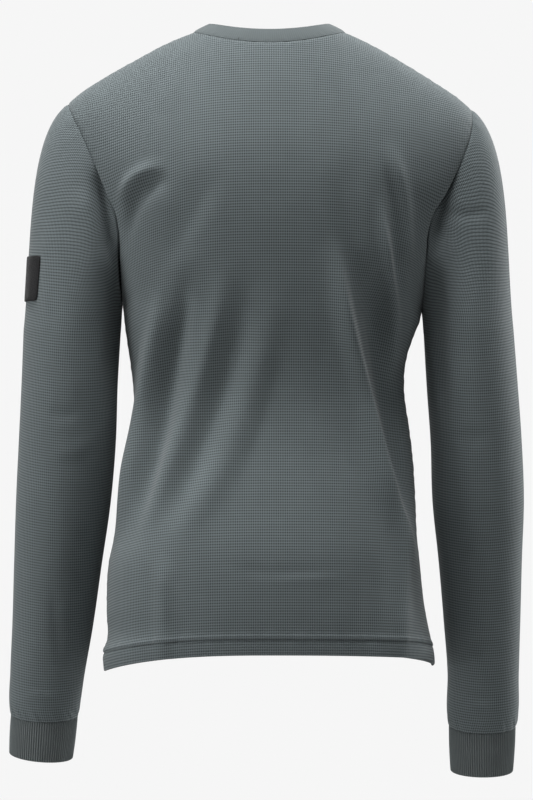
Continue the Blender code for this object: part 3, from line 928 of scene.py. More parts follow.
@dataclass(frozen=True)
class WaffleKnit:
    """Matte cotton waffle knit: rows of small cushions between wales and courses, with painted shade in the
    wales, courses and pits.
    """

    colour: tuple[float, float, float] = (0.1775, 0.2100, 0.2185)
    wale: float = 0.00235
    course: float = 0.00290
    wale_sharpness: float = 1.5
    course_sharpness: float = 1.4
    wale_drift: Speckle = Speckle(0.022, 0.06)
    course_drift: Speckle = Speckle(0.031, 0.06)
    # Patches over which the painted shade in the hollows runs deeper or fainter.
    shade_patch_grain: float = 0.011
    shade_patch_detail: float = 1.5
    # How far the wales, courses and pits are darkened, as painted shade in the knit's hollows.
    wale_shade: float = 0.30
    course_shade: float = 0.37
    course_shade_swing: float = 0.20
    pit_shade: float = 0.20
    fibres: Speckle = Speckle(0.0005, 0.22, 3.0)
    mottle: Speckle = Speckle(0.03, 0.07)
    depth: float = 0.00018
    roughness: float = 0.92
    sheen: float = 0.12

    def material(self, name: str) -> bpy.types.Material:
        """Make the knit's material.

        Args:
            name: The material's name.

        Returns:
            The material.
        """
        graph = Graph(name)
        across, up, place = graph.weave()
        drift = graph.speckle(place, self.wale_drift)
        lift = graph.speckle(place, self.course_drift)
        wales = graph.groove(across, self.wale, drift, self.wale_sharpness)
        courses = graph.groove(up, self.course, lift, self.course_sharpness)
        shade_patches = graph.noise(place, self.shade_patch_grain, self.shade_patch_detail)
        # The hollows are darkened as painted shade, deeper or fainter from patch to patch; the bump sinks
        # the same cells.
        wale_shade = graph.math("MULTIPLY_ADD", shade_patches, self.wale_shade, self.wale_shade / 2)
        course_full = self.course_shade + self.course_shade_swing / 2
        course_shade = graph.math("MULTIPLY_ADD", shade_patches, -self.course_shade_swing, course_full)
        wale_dark = graph.math("MULTIPLY", wales, wale_shade)
        course_dark = graph.math("MULTIPLY", courses, course_shade)
        pits = graph.math("MULTIPLY", wales, courses)
        dark = graph.math("ADD", wale_dark, course_dark)
        dark = graph.math("MULTIPLY_ADD", pits, self.pit_shade, dark)
        shade = graph.uneven_shade(dark, place, self.fibres, self.mottle)
        height = graph.math("SUBTRACT", 1.0, graph.math("MAXIMUM", wales, courses))
        return graph.finish(self.colour, shade, height, self.depth, self.roughness, self.sheen)


@dataclass(frozen=True)
class RibKnit:
    """Matte rib knit, whose ribs the mesh may raise and whose stitches are bump, with painted shade in its
    valleys and stitches.
    """

    colour: tuple[float, float, float] = (0.162, 0.185, 0.188)
    pitch: float = 0.0025
    stitch: float = 0.0014
    rib_sharpness: float = 1.6
    stitch_sharpness: float = 1.0
    rib_drift: Speckle = Speckle(0.02, 0.05)
    stitch_drift: Speckle = Speckle(0.004, 0.2)
    # How far the valleys and the stitches are darkened, as painted shade.
    valley_shade: float = 0.42
    stitch_shade: float = 0.12
    valley_share: float = 0.6
    fibres: Speckle = Speckle(0.0006, 0.16, 3.0)
    mottle: Speckle = Speckle(0.02, 0.06)
    depth: float = 0.0003
    roughness: float = 0.92
    sheen: float = 0.12

    def material(self, name: str) -> bpy.types.Material:
        """Make the rib knit's material.

        Args:
            name: The material's name.

        Returns:
            The material.
        """
        graph = Graph(name)
        across, up, place = graph.weave()
        valleys = graph.groove(across, self.pitch, graph.speckle(place, self.rib_drift), self.rib_sharpness)
        slip = graph.speckle(place, self.stitch_drift)
        stitches = graph.groove(up, self.stitch, slip, self.stitch_sharpness)
        # The valleys and the sunk stitches are darkened as painted shade.
        dark = graph.math("MULTIPLY", valleys, self.valley_shade)
        dark = graph.math("MULTIPLY_ADD", stitches, self.stitch_shade, dark)
        shade = graph.uneven_shade(dark, place, self.fibres, self.mottle)
        sunk = graph.math("MULTIPLY", valleys, self.valley_share)
        sunk = graph.math("MULTIPLY_ADD", stitches, 1 - self.valley_share, sunk)
        height = graph.math("SUBTRACT", 1.0, sunk)
        return graph.finish(self.colour, shade, height, self.depth, self.roughness, self.sheen)


@dataclass(frozen=True)
class Twill:
    """Close black twill with fine diagonal ribs, and painted shade in the sunk lines between them."""

    colour: tuple[float, float, float] = (0.0090, 0.0092, 0.0105)
    pitch: float = 0.0009
    rib_sharpness: float = 1.2
    rib_drift: Speckle = Speckle(0.01, 0.05)
    # How far the sunk diagonal lines are darkened, as painted shade.
    rib_shade: float = 0.35
    fibres: Speckle = Speckle(0.0004, 0.25, 3.0)
    depth: float = 0.00012
    roughness: float = 0.62
    sheen: float = 0.05

    def material(self, name: str) -> bpy.types.Material:
        """Make the twill's material.

        Args:
            name: The material's name.

        Returns:
            The material.
        """
        graph = Graph(name)
        across, up, place = graph.weave()
        slant = graph.math("ADD", across, up)
        ribs = graph.groove(slant, self.pitch, graph.speckle(place, self.rib_drift), self.rib_sharpness)
        stray = graph.math("ADD", 1.0, graph.speckle(place, self.fibres))
        # The sunk diagonal lines are darkened as painted shade.
        shade = graph.math("MULTIPLY_ADD", ribs, -self.rib_shade, stray)
        height = graph.math("SUBTRACT", 1.0, ribs)
        return graph.finish(self.colour, shade, height, self.depth, self.roughness, self.sheen)


@dataclass(frozen=True)
class Thread:
    """Spun sewing thread, twisted along its length, with painted shade between its plies."""

    colour: tuple[float, float, float] = (0.085, 0.099, 0.102)
    twist: float = 0.0006
    ply_sharpness: float = 1.0
    ply_drift: Speckle = Speckle(0.002, 0.1)
    # How far the grooves between the plies are darkened, as painted shade.
    ply_shade: float = 0.3
    brightness: float = 1.1
    depth: float = 0.0001
    roughness: float = 0.75
    sheen: float = 0.1

    def material(self, name: str) -> bpy.types.Material:
        """Make the thread's material.

        Args:
            name: The material's name.

        Returns:
            The material.
        """
        graph = Graph(name)
        across, up, place = graph.weave()
        slant = graph.math("ADD", across, up)
        plies = graph.groove(slant, self.twist, graph.speckle(place, self.ply_drift), self.ply_sharpness)
        # The grooves between the plies are darkened as painted shade.
        shade = graph.math("MULTIPLY_ADD", plies, -self.ply_shade, self.brightness)
        height = graph.math("SUBTRACT", 1.0, plies)
        return graph.finish(self.colour, shade, height, self.depth, self.roughness, self.sheen)


BAND_KNIT = RibKnit(colour=(0.122, 0.143, 0.147), valley_shade=0.10, depth=0.0001)
TACK_THREAD = Thread(colour=(0.040, 0.046, 0.048))
BLACK_THREAD = Thread(colour=(0.013, 0.013, 0.015))


@dataclass
class NeckSeam:
    """The seam between the panels and the neckband."""

    half_width: float = 0.0816
    back: float = 0.060
    front: float = 0.088
    drop_back: float = 0.016
    drop_front: float = 0.085
    front_roundness: float = 0.62
    front_dip: float = 1.2
    lean_middle: float = radians(40)
    lean_side: float = radians(62)
    front_spread: float = 1.6
    back_columns: int = 128
    front_columns: int = 96

    def loop(self, angle: np.ndarray) -> np.ndarray:
        """Return points of the seam, from 0 at the middle of the back to pi at the middle front.

        Args:
            angle: The angles of the points round the neck.

        Returns:
            The points.
        """
        back = np.clip(np.cos(angle), 0, None)
        front = np.clip(-np.cos(angle), 0, None)
        return np.stack([
            self.half_width * np.sin(angle),
            self.back * back - self.front * front**self.front_roundness,
            -self.drop_back * back**2 - self.drop_front * front**self.front_dip,
        ], axis=-1)

    def directions(self, angle: np.ndarray) -> tuple[np.ndarray, np.ndarray]:
        """Return the cloth's outward normals at the seam, and the way from a panel into the band.

        Args:
            angle: The angles of the points round the neck.

        Returns:
            The normals, and the ways into the band.
        """
        lean = self.lean_middle + (self.lean_side - self.lean_middle) * np.sin(angle)**2
        radial = np.stack([np.sin(angle), np.cos(angle), np.zeros_like(angle)], axis=-1)
        up = np.array([0.0, 0.0, 1.0])
        outward = radial * np.cos(lean)[..., None] + up * np.sin(lean)[..., None]
        upward = -radial * np.sin(lean)[..., None] + up * np.cos(lean)[..., None]
        return outward, upward

    def angles(self, face: Face) -> np.ndarray:
        """Return angles along one half of the seam, from the right to the left.

        Args:
            face: The back or the front half.

        Returns:
            The angles, one for each column of its panel.
        """
        if face is Face.BACK:
            return np.linspace(-pi / 2, pi / 2, self.back_columns + 1)
        share = np.linspace(-1, 1, self.front_columns + 1)
        swing = np.sign(share) * (1 - (1 - np.abs(share))**self.front_spread)
        return pi - swing * pi / 2


@dataclass
class ArmholeSeam:
    """The seam between the panels and one sleeve."""

    side: Side
    top: float
    bottom: float
    back: float
    front: float

    def loop(self, angle: np.ndarray) -> np.ndarray:
        """Return points of the seam, from 0 at the shoulder over the back to pi under the arm.

        Args:
            angle: The angles of the points round the armhole.

        Returns:
            The points.
        """
        middle = (self.top + self.bottom) / 2
        z = middle + (self.top - middle) * np.cos(angle)
        x = read(ARMHOLE_EDGES, self.side.name.lower(), z)
        reach = np.where(np.sin(angle) > 0, self.back, self.front)
        return np.stack([self.side.value * x, reach * np.sin(angle), z], axis=-1)

    def normal(self, angle: np.ndarray) -> np.ndarray:
        """Return the cloth's outward normals at the seam, in the plane of its loop.

        Args:
            angle: The angles of the points round the armhole.

        Returns:
            The normals.
        """
        reach = np.where(np.sin(angle) > 0, self.back, self.front)
        half_height = (self.top - self.bottom) / 2
        return unit(np.stack([
            np.zeros_like(angle),
            np.sin(angle) / reach,
            np.cos(angle) / half_height,
        ], axis=-1))


NECK = NeckSeam()
ARMHOLES = {
    Side.LEFT: ArmholeSeam(Side.LEFT, -0.0765, -0.289, 0.056, 0.052),
    Side.RIGHT: ArmholeSeam(Side.RIGHT, -0.0820, -0.297, 0.052, 0.052),
}


@dataclass
class StitchLine:
    """A line of thread stitches that lie along a path."""

    pitch: float = 0.0036
    length: float = 0.0030
    radius: float = 0.00036
    sides: int = 8
    rings: int = 5
    end_roundness: float = 0.5
    bake_share: float = 0.9
    bake_low: float = 0.02
    bake_high: float = 0.98

    def template(self) -> tuple[np.ndarray, np.ndarray]:
        """Shape one stitch.

        Returns:
            Its points, along, across and up, and the grid of their numbers.
        """
        turn = np.linspace(0, pi, self.rings + 2)
        along = -np.cos(turn) * self.length / 2
        girth = self.radius * np.sin(turn)**self.end_roundness
        spin = np.linspace(0, 2 * pi, self.sides, endpoint=False)
        points = np.stack([
            np.repeat(along, self.sides),
            np.outer(girth, np.cos(spin)).ravel(),
            np.outer(girth, np.sin(spin)).ravel(),
        ], axis=-1)
        index = np.arange(len(points)).reshape(self.rings + 2, self.sides)
        index = np.concatenate([index, index[:, :1]], axis=1)
        return points, index

    def build(self, name: str, path: np.ndarray, outward: np.ndarray, sunk: float) -> bpy.types.Mesh:
        """Lay stitches on a path.

        Args:
            name: The mesh's name.
            path: The points that the line follows on the cloth.
            outward: The cloth's outward normals there.
            sunk: How far the stitches' middle lies under the path.

        Returns:
            The stitches as one mesh.
        """
        reach = lengths_along(path, 0)
        count = int(reach[-1] / self.pitch)
        middles = (np.arange(count) + 0.5) * reach[-1] / count
        place = along_path(path, reach, middles)
        up = unit(along_path(outward, reach, middles))
        ahead = along_path(path, reach, middles + self.length / 2)
        behind = along_path(path, reach, middles - self.length / 2)
        along = unit(ahead - behind)
        over = unit(np.cross(up, along))
        up = np.cross(along, over)
        shape, index = self.template()
        points = (place - up * sunk)[:, None] + (
            shape[None, :, :1] * along[:, None] + shape[None, :, 1:2] * over[:, None]
            + shape[None, :, 2:] * up[:, None])
        grid = index[None] + (np.arange(count) * len(shape))[:, None, None]
        weave = np.stack(np.broadcast_arrays(
            np.linspace(0, self.length, self.rings + 2)[:, None],
            np.linspace(0, 2 * pi * self.radius, self.sides + 1)[None]), axis=-1)
        patches = []
        for number in range(count):
            left = number / count
            area = BakeArea(left, left + self.bake_share / count, self.bake_low, self.bake_high)
            bake = bake_grid(self.rings + 2, self.sides + 1, area)
            patches.append(grid_patch(grid[number], weave, bake, outward=False))
        return mesh_from(name, points.reshape(-1, 3), patches)


@dataclass
class Panel:
    """The back or front panel, from the turned-up hem to the shoulders and neck."""

    face: Face
    creases: list[Crease]
    flat: tuple[float, float]
    cut_area: float
    seed: int
    # How finely the panel is divided.
    shoulder_columns: int = 56
    body_rows: int = 138
    armhole_rows: int = 88
    hem_flat_rows: int = 8
    groove_rows: int = 7
    ridge_rows: int = 6
    # The form of the chest and shoulders, and how it meets the seams.
    nape_rise: float = 0.030
    shoulder_roll: float = 0.19
    lift: float = 1.6
    settle: float = 1.2
    edge_blend: float = 3.0
    top_blend: float = 6.0
    meet_share: float = 0.86
    edge_columns: int = 5
    # The rounding under the neck's corners, with its reach in columns.
    corner_reach: float = 14.0
    corner_width: float = 1.3
    corner_start: float = 0.25
    corner_rise: float = 0.35
    corner_ease: float = 0.9
    corner_passes: int = 45
    # Where the creases fade out, and over how many rows the courses turn straight.
    edge_fade: float = 0.35
    top_fade: float = 12.0
    course_turn: float = 24.0
    # The turned-up hem and its stitches.
    hem_rounding: tuple[float, ...] = (0.0, 0.12, 0.35, 0.65, 1.0)
    hem_roundness: float = 0.98
    hem_flat: tuple[float, float] = (0.0026, 0.0168)
    hem_top: float = 0.0330
    groove_reach: float = 0.0014
    groove: Swell = Swell(0.0009, HEM_DEPTH, 0.0009)
    ridge_start: float = 0.0216
    ridge: Swell = Swell(0.0011, HEM_DEPTH + 0.0034, 0.0022)
    puff: Swell = Swell(0.0003, 0.010, 0.006)
    thinning: float = 0.003
    hem_pucker: Swell = Swell(0.0004, HEM_DEPTH + 0.004, 0.006)
    hem_wave: float = 0.017
    hem_seed: int = 7
    stitch_margin: int = 3
    stitch_depth: float = 0.0001
    # The other seams.
    seam: Swell = Swell(0.0009, 0.0, 0.0018)
    pucker: Swell = Swell(0.00035, 0.005, 0.005)
    side_wave: float = 0.013
    top_wave: float = 0.011
    top_unevenness: float = 0.5

    @property
    def name(self) -> str:
        """Return the panel's node name."""
        return self.face.name.lower()

    def hem_heights(self) -> np.ndarray:
        """Choose the rows that shape the hem.

        Returns:
            Their heights above the lower edge.
        """
        rounded = HEM_WALL / 2 * np.array(self.hem_rounding)
        flat_part = np.linspace(*self.hem_flat, self.hem_flat_rows)
        groove = HEM_DEPTH + np.linspace(-self.groove_reach, self.groove_reach, self.groove_rows)
        ridge = np.linspace(self.ridge_start, self.hem_top, self.ridge_rows)
        return np.concatenate([rounded, flat_part, groove, ridge])

    def hem_profile(self, height: np.ndarray) -> tuple[np.ndarray, np.ndarray]:
        """Shape the turned-up hem.

        Args:
            height: Heights above the lower edge.

        Returns:
            How far the hem's outer face is sunk at each height, and how thick its wall is.
        """
        radius = HEM_WALL / 2
        reach = radius * self.hem_roundness
        below = np.clip(reach - height, 0, reach)
        rounding = radius - np.sqrt(radius**2 - below**2)
        thin = smooth_step((height - HEM_DEPTH) / self.thinning)
        wall = HEM_WALL * (1 - thin) + KNIT_WALL * thin - 2 * rounding
        sunk = rounding + self.groove.at(height) - self.ridge.at(height) - self.puff.at(height)
        return sunk, wall

    def top_edge(self) -> tuple[np.ndarray, np.ndarray]:
        """Return the top edge, from the right shoulder point over the neck, and the neck's angles.

        Returns:
            The edge's points, and the angles of those at the neck.
        """
        x = np.linspace(SHOULDERS[-1].x, NECK.half_width, self.shoulder_columns + 1)
        flat = np.zeros_like(x)
        right = np.stack([-x, flat, read(SHOULDERS, "right", x)], axis=-1)
        left = np.stack([x, flat, read(SHOULDERS, "left", x)], axis=-1)[::-1]
        angle = NECK.angles(self.face)
        _, upward = NECK.directions(angle)
        neck = NECK.loop(angle) - upward * SEAM_GAP / 2
        return np.concatenate([right[:-1], neck, left[1:]]), angle

    def shoulder_line(self, x: np.ndarray) -> np.ndarray:
        """Return the height of the body's top line, which goes on over the neck as a low nape.

        Args:
            x: Places across.

        Returns:
            The height at each place.
        """
        reach = np.abs(x)
        sides = np.where(x > 0, read(SHOULDERS, "left", reach), read(SHOULDERS, "right", reach))
        nape = self.nape_rise * (1 - (x / NECK.half_width)**2)
        return np.where(reach < NECK.half_width, nape, sides)

    def chest_depth(self, x: np.ndarray, z: np.ndarray, x_edge: np.ndarray,
                    y_edge: np.ndarray) -> np.ndarray:
        """Work out the body's depth above the underarm.

        Args:
            x: Places across.
            z: Heights.
            x_edge: Where the armhole seam cuts each section off, across.
            y_edge: Where it cuts it off in depth.

        Returns:
            The depth at each place.
        """
        depth = read(DEPTHS, self.name, z)
        reach = x_edge / (1 - (y_edge / depth)**SQUARENESS)**(1 / SQUARENESS)
        arch = np.clip(1 - (np.abs(x) / reach)**SQUARENESS, 0, None)**(1 / SQUARENESS)
        fall = np.clip((self.shoulder_line(x) - z) / self.shoulder_roll, 0, 1)
        return depth * arch * np.sqrt(1 - (1 - fall)**2)

    def body_points(self, heights: np.ndarray, turn: np.ndarray, body_height: float) -> np.ndarray:
        """Return the rows of points from the hem up to the underarm.

        Args:
            heights: The rows' heights above the lower edge, at the left side seam.
            turn: The columns' angles, from the right side seam to the left.
            body_height: The height of the underarm above the lower edge.

        Returns:
            The points, with depths counted outwards from the side seams.
        """
        hem = HEMS[self.face]
        right, left = ARMHOLES[Side.RIGHT], ARMHOLES[Side.LEFT]
        mix = (np.sin(turn) + 1) / 2
        underarm = right.bottom * (1 - mix) + left.bottom * mix
        hem_side = hem.right * (1 - mix) + hem.left * mix
        hem_curve = np.where(turn > 0, hem.left_curve, hem.right_curve)
        hem_rise = (hem.middle - hem_side) * np.abs(np.cos(turn))**hem_curve
        share = (heights / body_height)[:, None]
        edge = hem_side * (1 - share) + underarm * share
        half = np.where(turn > 0, read(BODY_EDGES, "left", edge), read(BODY_EDGES, "right", edge))
        seam_left, seam_right = left.loop(np.array(pi))[0], -right.loop(np.array(pi))[0]
        meet = np.where(turn > 0, seam_left - half[-1], seam_right - half[-1])
        half = half + meet * smooth_step((share - self.meet_share) / (1 - self.meet_share))
        x = half * np.sign(turn) * np.abs(np.sin(turn))**(2 / SQUARENESS)
        y = read(DEPTHS, self.name, edge) * np.abs(np.cos(turn))**(2 / SQUARENESS)
        z = edge + hem_rise * (1 - share)**2
        return np.stack([x, y, z], axis=-1)

    def chest_points(self, turn: np.ndarray, top: np.ndarray) -> np.ndarray:
        """Return the rows of points from the underarm up to the top edge.

        Args:
            turn: The columns' angles, from the right side seam to the left.
            top: The points of the top edge.

        Returns:
            The points, with depths counted outwards from the side seams.
        """
        right, left = ARMHOLES[Side.RIGHT], ARMHOLES[Side.LEFT]
        body_share = np.sign(turn) * np.abs(np.sin(turn))**(2 / SQUARENESS)
        top_share = top[:, 0] / abs(top[0, 0])
        mix = (np.sin(turn) + 1) / 2
        shoulder = right.top * (1 - mix) + left.top * mix
        rows = []
        for row in range(1, self.armhole_rows + 1):
            share = row / self.armhole_rows
            angle = np.array(self.face.value * pi * (1 - share))
            seam_right, seam_left = right.loop(angle), left.loop(angle)
            settle = share**self.settle
            x_share = body_share * (1 - settle) + top_share * settle
            x_edge = np.where(turn > 0, seam_left[0], -seam_right[0])
            y_edge = np.where(turn > 0, abs(seam_left[1]), abs(seam_right[1]))
            x = x_edge * x_share
            z = seam_right[2] * (1 - mix) + seam_left[2] * mix
            z = z + (top[:, 2] - shoulder) * share**self.lift
            y = self.chest_depth(x, z, x_edge, y_edge)
            short = y_edge - np.where(turn > 0, y[-1], y[0])
            y = y + short * np.abs(x_share)**self.edge_blend
            rows.append(np.stack([x, y, z], axis=-1))
        missing = np.abs(top[:, 1]) - rows[-1][:, 1]
        for row, points in enumerate(rows, start=1):
            points[:, 1] += missing * (row / self.armhole_rows)**self.top_blend
        rows[-1] = top * (1, self.face.value, 1)
        return self.with_eased_corners(np.array(rows))

    def with_eased_corners(self, points: np.ndarray) -> np.ndarray:
        """Round the folds under the neck's two corners.

        Args:
            points: The rows of points of the chest.

        Returns:
            The same points, eased, with the top row kept.
        """
        column = np.arange(points.shape[1])
        corners = (self.shoulder_columns, points.shape[1] - 1 - self.shoulder_columns)
        away = [np.abs(column - corner) / self.corner_reach for corner in corners]
        near = smooth_step(self.corner_width - away[0]) + smooth_step(self.corner_width - away[1])
        rise = smooth_step((np.linspace(0, 1, len(points)) - self.corner_start) / self.corner_rise)
        share = self.corner_ease * rise[:, None, None] * near[None, :, None]
        share[-1] = 0
        for _ in range(self.corner_passes):
            middle = (points[:, :-2] + points[:, 2:]) / 2
            points[:, 1:-1] += (middle - points[:, 1:-1]) * share[:, 1:-1]
        return points

    def seam_relief(self, outer: np.ndarray) -> np.ndarray:
        """Sink the cloth at the panel's seams and pucker it beside them.

        Args:
            outer: The points of the outer face.

        Returns:
            How far each point is raised.
        """
        across = lengths_along(outer, 1)
        up = lengths_along(outer, 0)
        relief = np.zeros(outer.shape[:2])
        ends = (across, across[:, -1:] - across)
        for number, away in enumerate(ends):
            wave = ripple(up, self.side_wave, self.seed + number)
            relief += wave * self.pucker.at(away) - self.seam.at(away)
        away = up[-1:] - up
        wave = ripple(across, self.top_wave, self.seed + len(ends))
        sunk = (1 + self.top_unevenness * wave) * self.seam.at(away)
        return relief + wave * self.pucker.at(away) - sunk

    def course_directions(self, points: np.ndarray) -> np.ndarray:
        """Choose how the courses run: along the rows of the body, and straight across the chest.

        Args:
            points: The points of the outer face.

        Returns:
            The direction of the course at each point.
        """
        along = unit(np.gradient(points, axis=1))
        outward = normals(points, closed=False)
        sideways = np.array([float(self.face.value), 0.0, 0.0])
        straight = unit(sideways - (outward @ sideways)[..., None] * outward)
        chest = (np.arange(len(points)) - len(points) + self.armhole_rows) / self.course_turn
        share = smooth_step(chest)[:, None, None]
        return unit(along * (1 - share) + straight * share)

    def edge_normals(self, outward: np.ndarray, neck_angle: np.ndarray) -> np.ndarray:
        """Hold the wall's direction at the edges so that neighbours stay a seam's gap apart.

        Args:
            outward: The free outward normals.
            neck_angle: The angles of the top edge's neck columns.

        Returns:
            Normals that turn into the seams' own near the edges.
        """
        held = outward.copy()
        underarm_row = len(outward) - 1 - self.armhole_rows
        held[:underarm_row, [0, -1], 1] = 0
        shoulder = list(range(self.shoulder_columns + 1))
        shoulder += list(range(outward.shape[1] - self.shoulder_columns - 1, outward.shape[1]))
        held[-1, shoulder, 1] = 0
        held = unit(held)
        neck_out, _ = NECK.directions(neck_angle)
        if self.face is Face.FRONT:
            neck_out = neck_out[::-1]
        held[-1, self.shoulder_columns:self.shoulder_columns + len(neck_out)] = neck_out
        angle = self.face.value * np.linspace(pi, 0, self.armhole_rows + 1)
        sides = (Side.RIGHT, Side.LEFT) if self.face is Face.BACK else (Side.LEFT, Side.RIGHT)
        for column, side in zip((0, -1), sides):
            held[underarm_row:, column] = ARMHOLES[side].normal(angle)
        blended = held.copy()
        for step in range(1, self.edge_columns):
            share = step / self.edge_columns
            for column, edge in ((step, 0), (-1 - step, -1)):
                mixed = held[:-1, edge] * (1 - share) + outward[:-1, column] * share
                blended[:-1, column] = unit(mixed)
        for step in range(1, self.edge_columns):
            share = step / self.edge_columns
            mixed = held[-1] * (1 - share) + blended[-1 - step] * share
            blended[-1 - step] = unit(mixed)
        return blended

    def creased_points(self, heights: np.ndarray,
                       body_height: float) -> tuple[np.ndarray, np.ndarray, np.ndarray]:
        """Shape the panel's outer face with its creases.

        Args:
            heights: The heights of the body's rows above the lower edge.
            body_height: The height of the underarm above the lower edge.

        Returns:
            The points, their places in the cloth, and the angles of the top edge's neck columns.
        """
        top, neck_angle = self.top_edge()
        turn = np.linspace(-pi / 2, pi / 2, len(top))
        body = self.body_points(heights, turn, body_height)
        outer = np.concatenate([body, self.chest_points(turn, top)])
        outer[..., 1] += SEAM_GAP / 2
        relief = crease_relief(outer[..., 0], outer[..., 2], self.creases)
        relief = relief * smooth_step(np.cos(turn) / self.edge_fade)
        relief[len(heights):] *= smooth_step(np.linspace(1, 0, self.armhole_rows) * self.top_fade)[:, None]
        outer = outer * (1, self.face.value, 1)
        if self.face is Face.FRONT:
            outer = outer[:, ::-1]
            relief = relief[:, ::-1]
        plain_weave = weave_of(outer, closed=False, courses=self.course_directions(outer))
        outer = outer + normals(outer, closed=False) * relief[..., None]
        for column, sign in ((0, -self.face.value), (-1, self.face.value)):
            outer[len(heights) - 1:, column, 0] -= sign * SEAM_GAP / 2
        weave = weave_of(outer, closed=False, courses=self.course_directions(outer))
        weave[..., 1] = plain_weave[..., 1]
        return outer, weave, neck_angle

    def build(self, knit: bpy.types.Material, thread: bpy.types.Material) -> list[bpy.types.Object]:
        """Build the panel and its hem stitches.

        Args:
            knit: The panel's material.
            thread: The stitches' material.

        Returns:
            The panel and the line of stitches.
        """
        body_height = ARMHOLES[Side.LEFT].bottom - HEMS[self.face].left
        body_heights = np.linspace(self.hem_top, body_height, self.body_rows + 1)[1:]
        heights = np.concatenate([self.hem_heights(), body_heights])
        outer, weave, neck_angle = self.creased_points(heights, body_height)
        outward = self.edge_normals(normals(outer, closed=False), neck_angle)
        all_heights = np.concatenate([heights, np.full(self.armhole_rows, body_height)])
        sunk, wall = self.hem_profile(all_heights)
        stitch_row = int(np.argmin(np.abs(heights - HEM_DEPTH)))
        along = lengths_along(outer[stitch_row], 0)
        wave = ripple(along, self.hem_wave, self.seed + self.hem_seed)
        hem_puckers = wave * self.hem_pucker.at(all_heights)[:, None]
        detail = self.seam_relief(outer) + hem_puckers - sunk[:, None]
        outer = outer + outward * detail[..., None]
        inner = outer - outward * wall[:, None, None]
        mesh = Wall(outer, inner, weave, closed=False).mesh(f"{self.name}_cloth")
        panel = add_piece(f"{self.name}_cloth", mesh, knit, self.name)
        held = slice(self.stitch_margin, -self.stitch_margin)
        stitches = StitchLine().build(f"{self.name}_hem_stitches", outer[stitch_row, held],
                                      outward[stitch_row, held], self.stitch_depth)
        line = add_piece(f"{self.name}_hem_stitches", stitches, thread)
        return [panel, line]


@dataclass
class ArmAxis:
    """The leaning axis and oval sections of a sleeve or cuff."""

    side: Side
    lean_step: float = 0.010

    def ring(self, row: Section, slope: tuple[float, float], angle: np.ndarray,
             grow: float = 0.0) -> np.ndarray:
        """Work out points round the arm at one section, square to its axis there.

        Args:
            row: The section.
            slope: How far the axis leans, in x and y, for each metre of height.
            angle: The angles round the arm, from its outermost line.
            grow: How far the oval is widened.

        Returns:
            The points.
        """
        axis = unit(np.array([slope[0], slope[1], 1.0]))
        across = unit(np.array([1.0, 0.0, 0.0]) - axis[0] * axis)
        deep = np.cross(axis, across)
        half_width = (row.outer - row.inner) / 2 + grow
        half_depth = row.half_depth + grow
        sign = self.side.value
        centre = np.array([sign * (row.outer + row.inner) / 2, row.middle, row.z])
        return centre + (sign * half_width * np.cos(angle)[:, None] * across
                         + half_depth * np.sin(angle)[:, None] * deep)

    def section_at(self, rows: list[Section], z: float) -> tuple[Section, tuple[float, float]]:
        """Return the section at a height, and how far the axis leans there in x and y.

        Args:
            rows: The sections of the sleeve.
            z: The height.

        Returns:
            The section, and how far the axis leans in x and y for each metre of height.
        """
        row = Section(z, *[float(read(rows, c, z)) for c in ("outer", "inner", "middle", "half_depth")])
        high = min(z + self.lean_step, rows[0].z)
        low = max(z - self.lean_step, rows[-1].z)
        run = high - low
        lean_x = sum(read(rows, c, high) - read(rows, c, low) for c in ("outer", "inner")) / (2 * run)
        lean_y = (read(rows, "middle", high) - read(rows, "middle", low)) / run
        return row, (self.side.value * float(lean_x), float(lean_y))


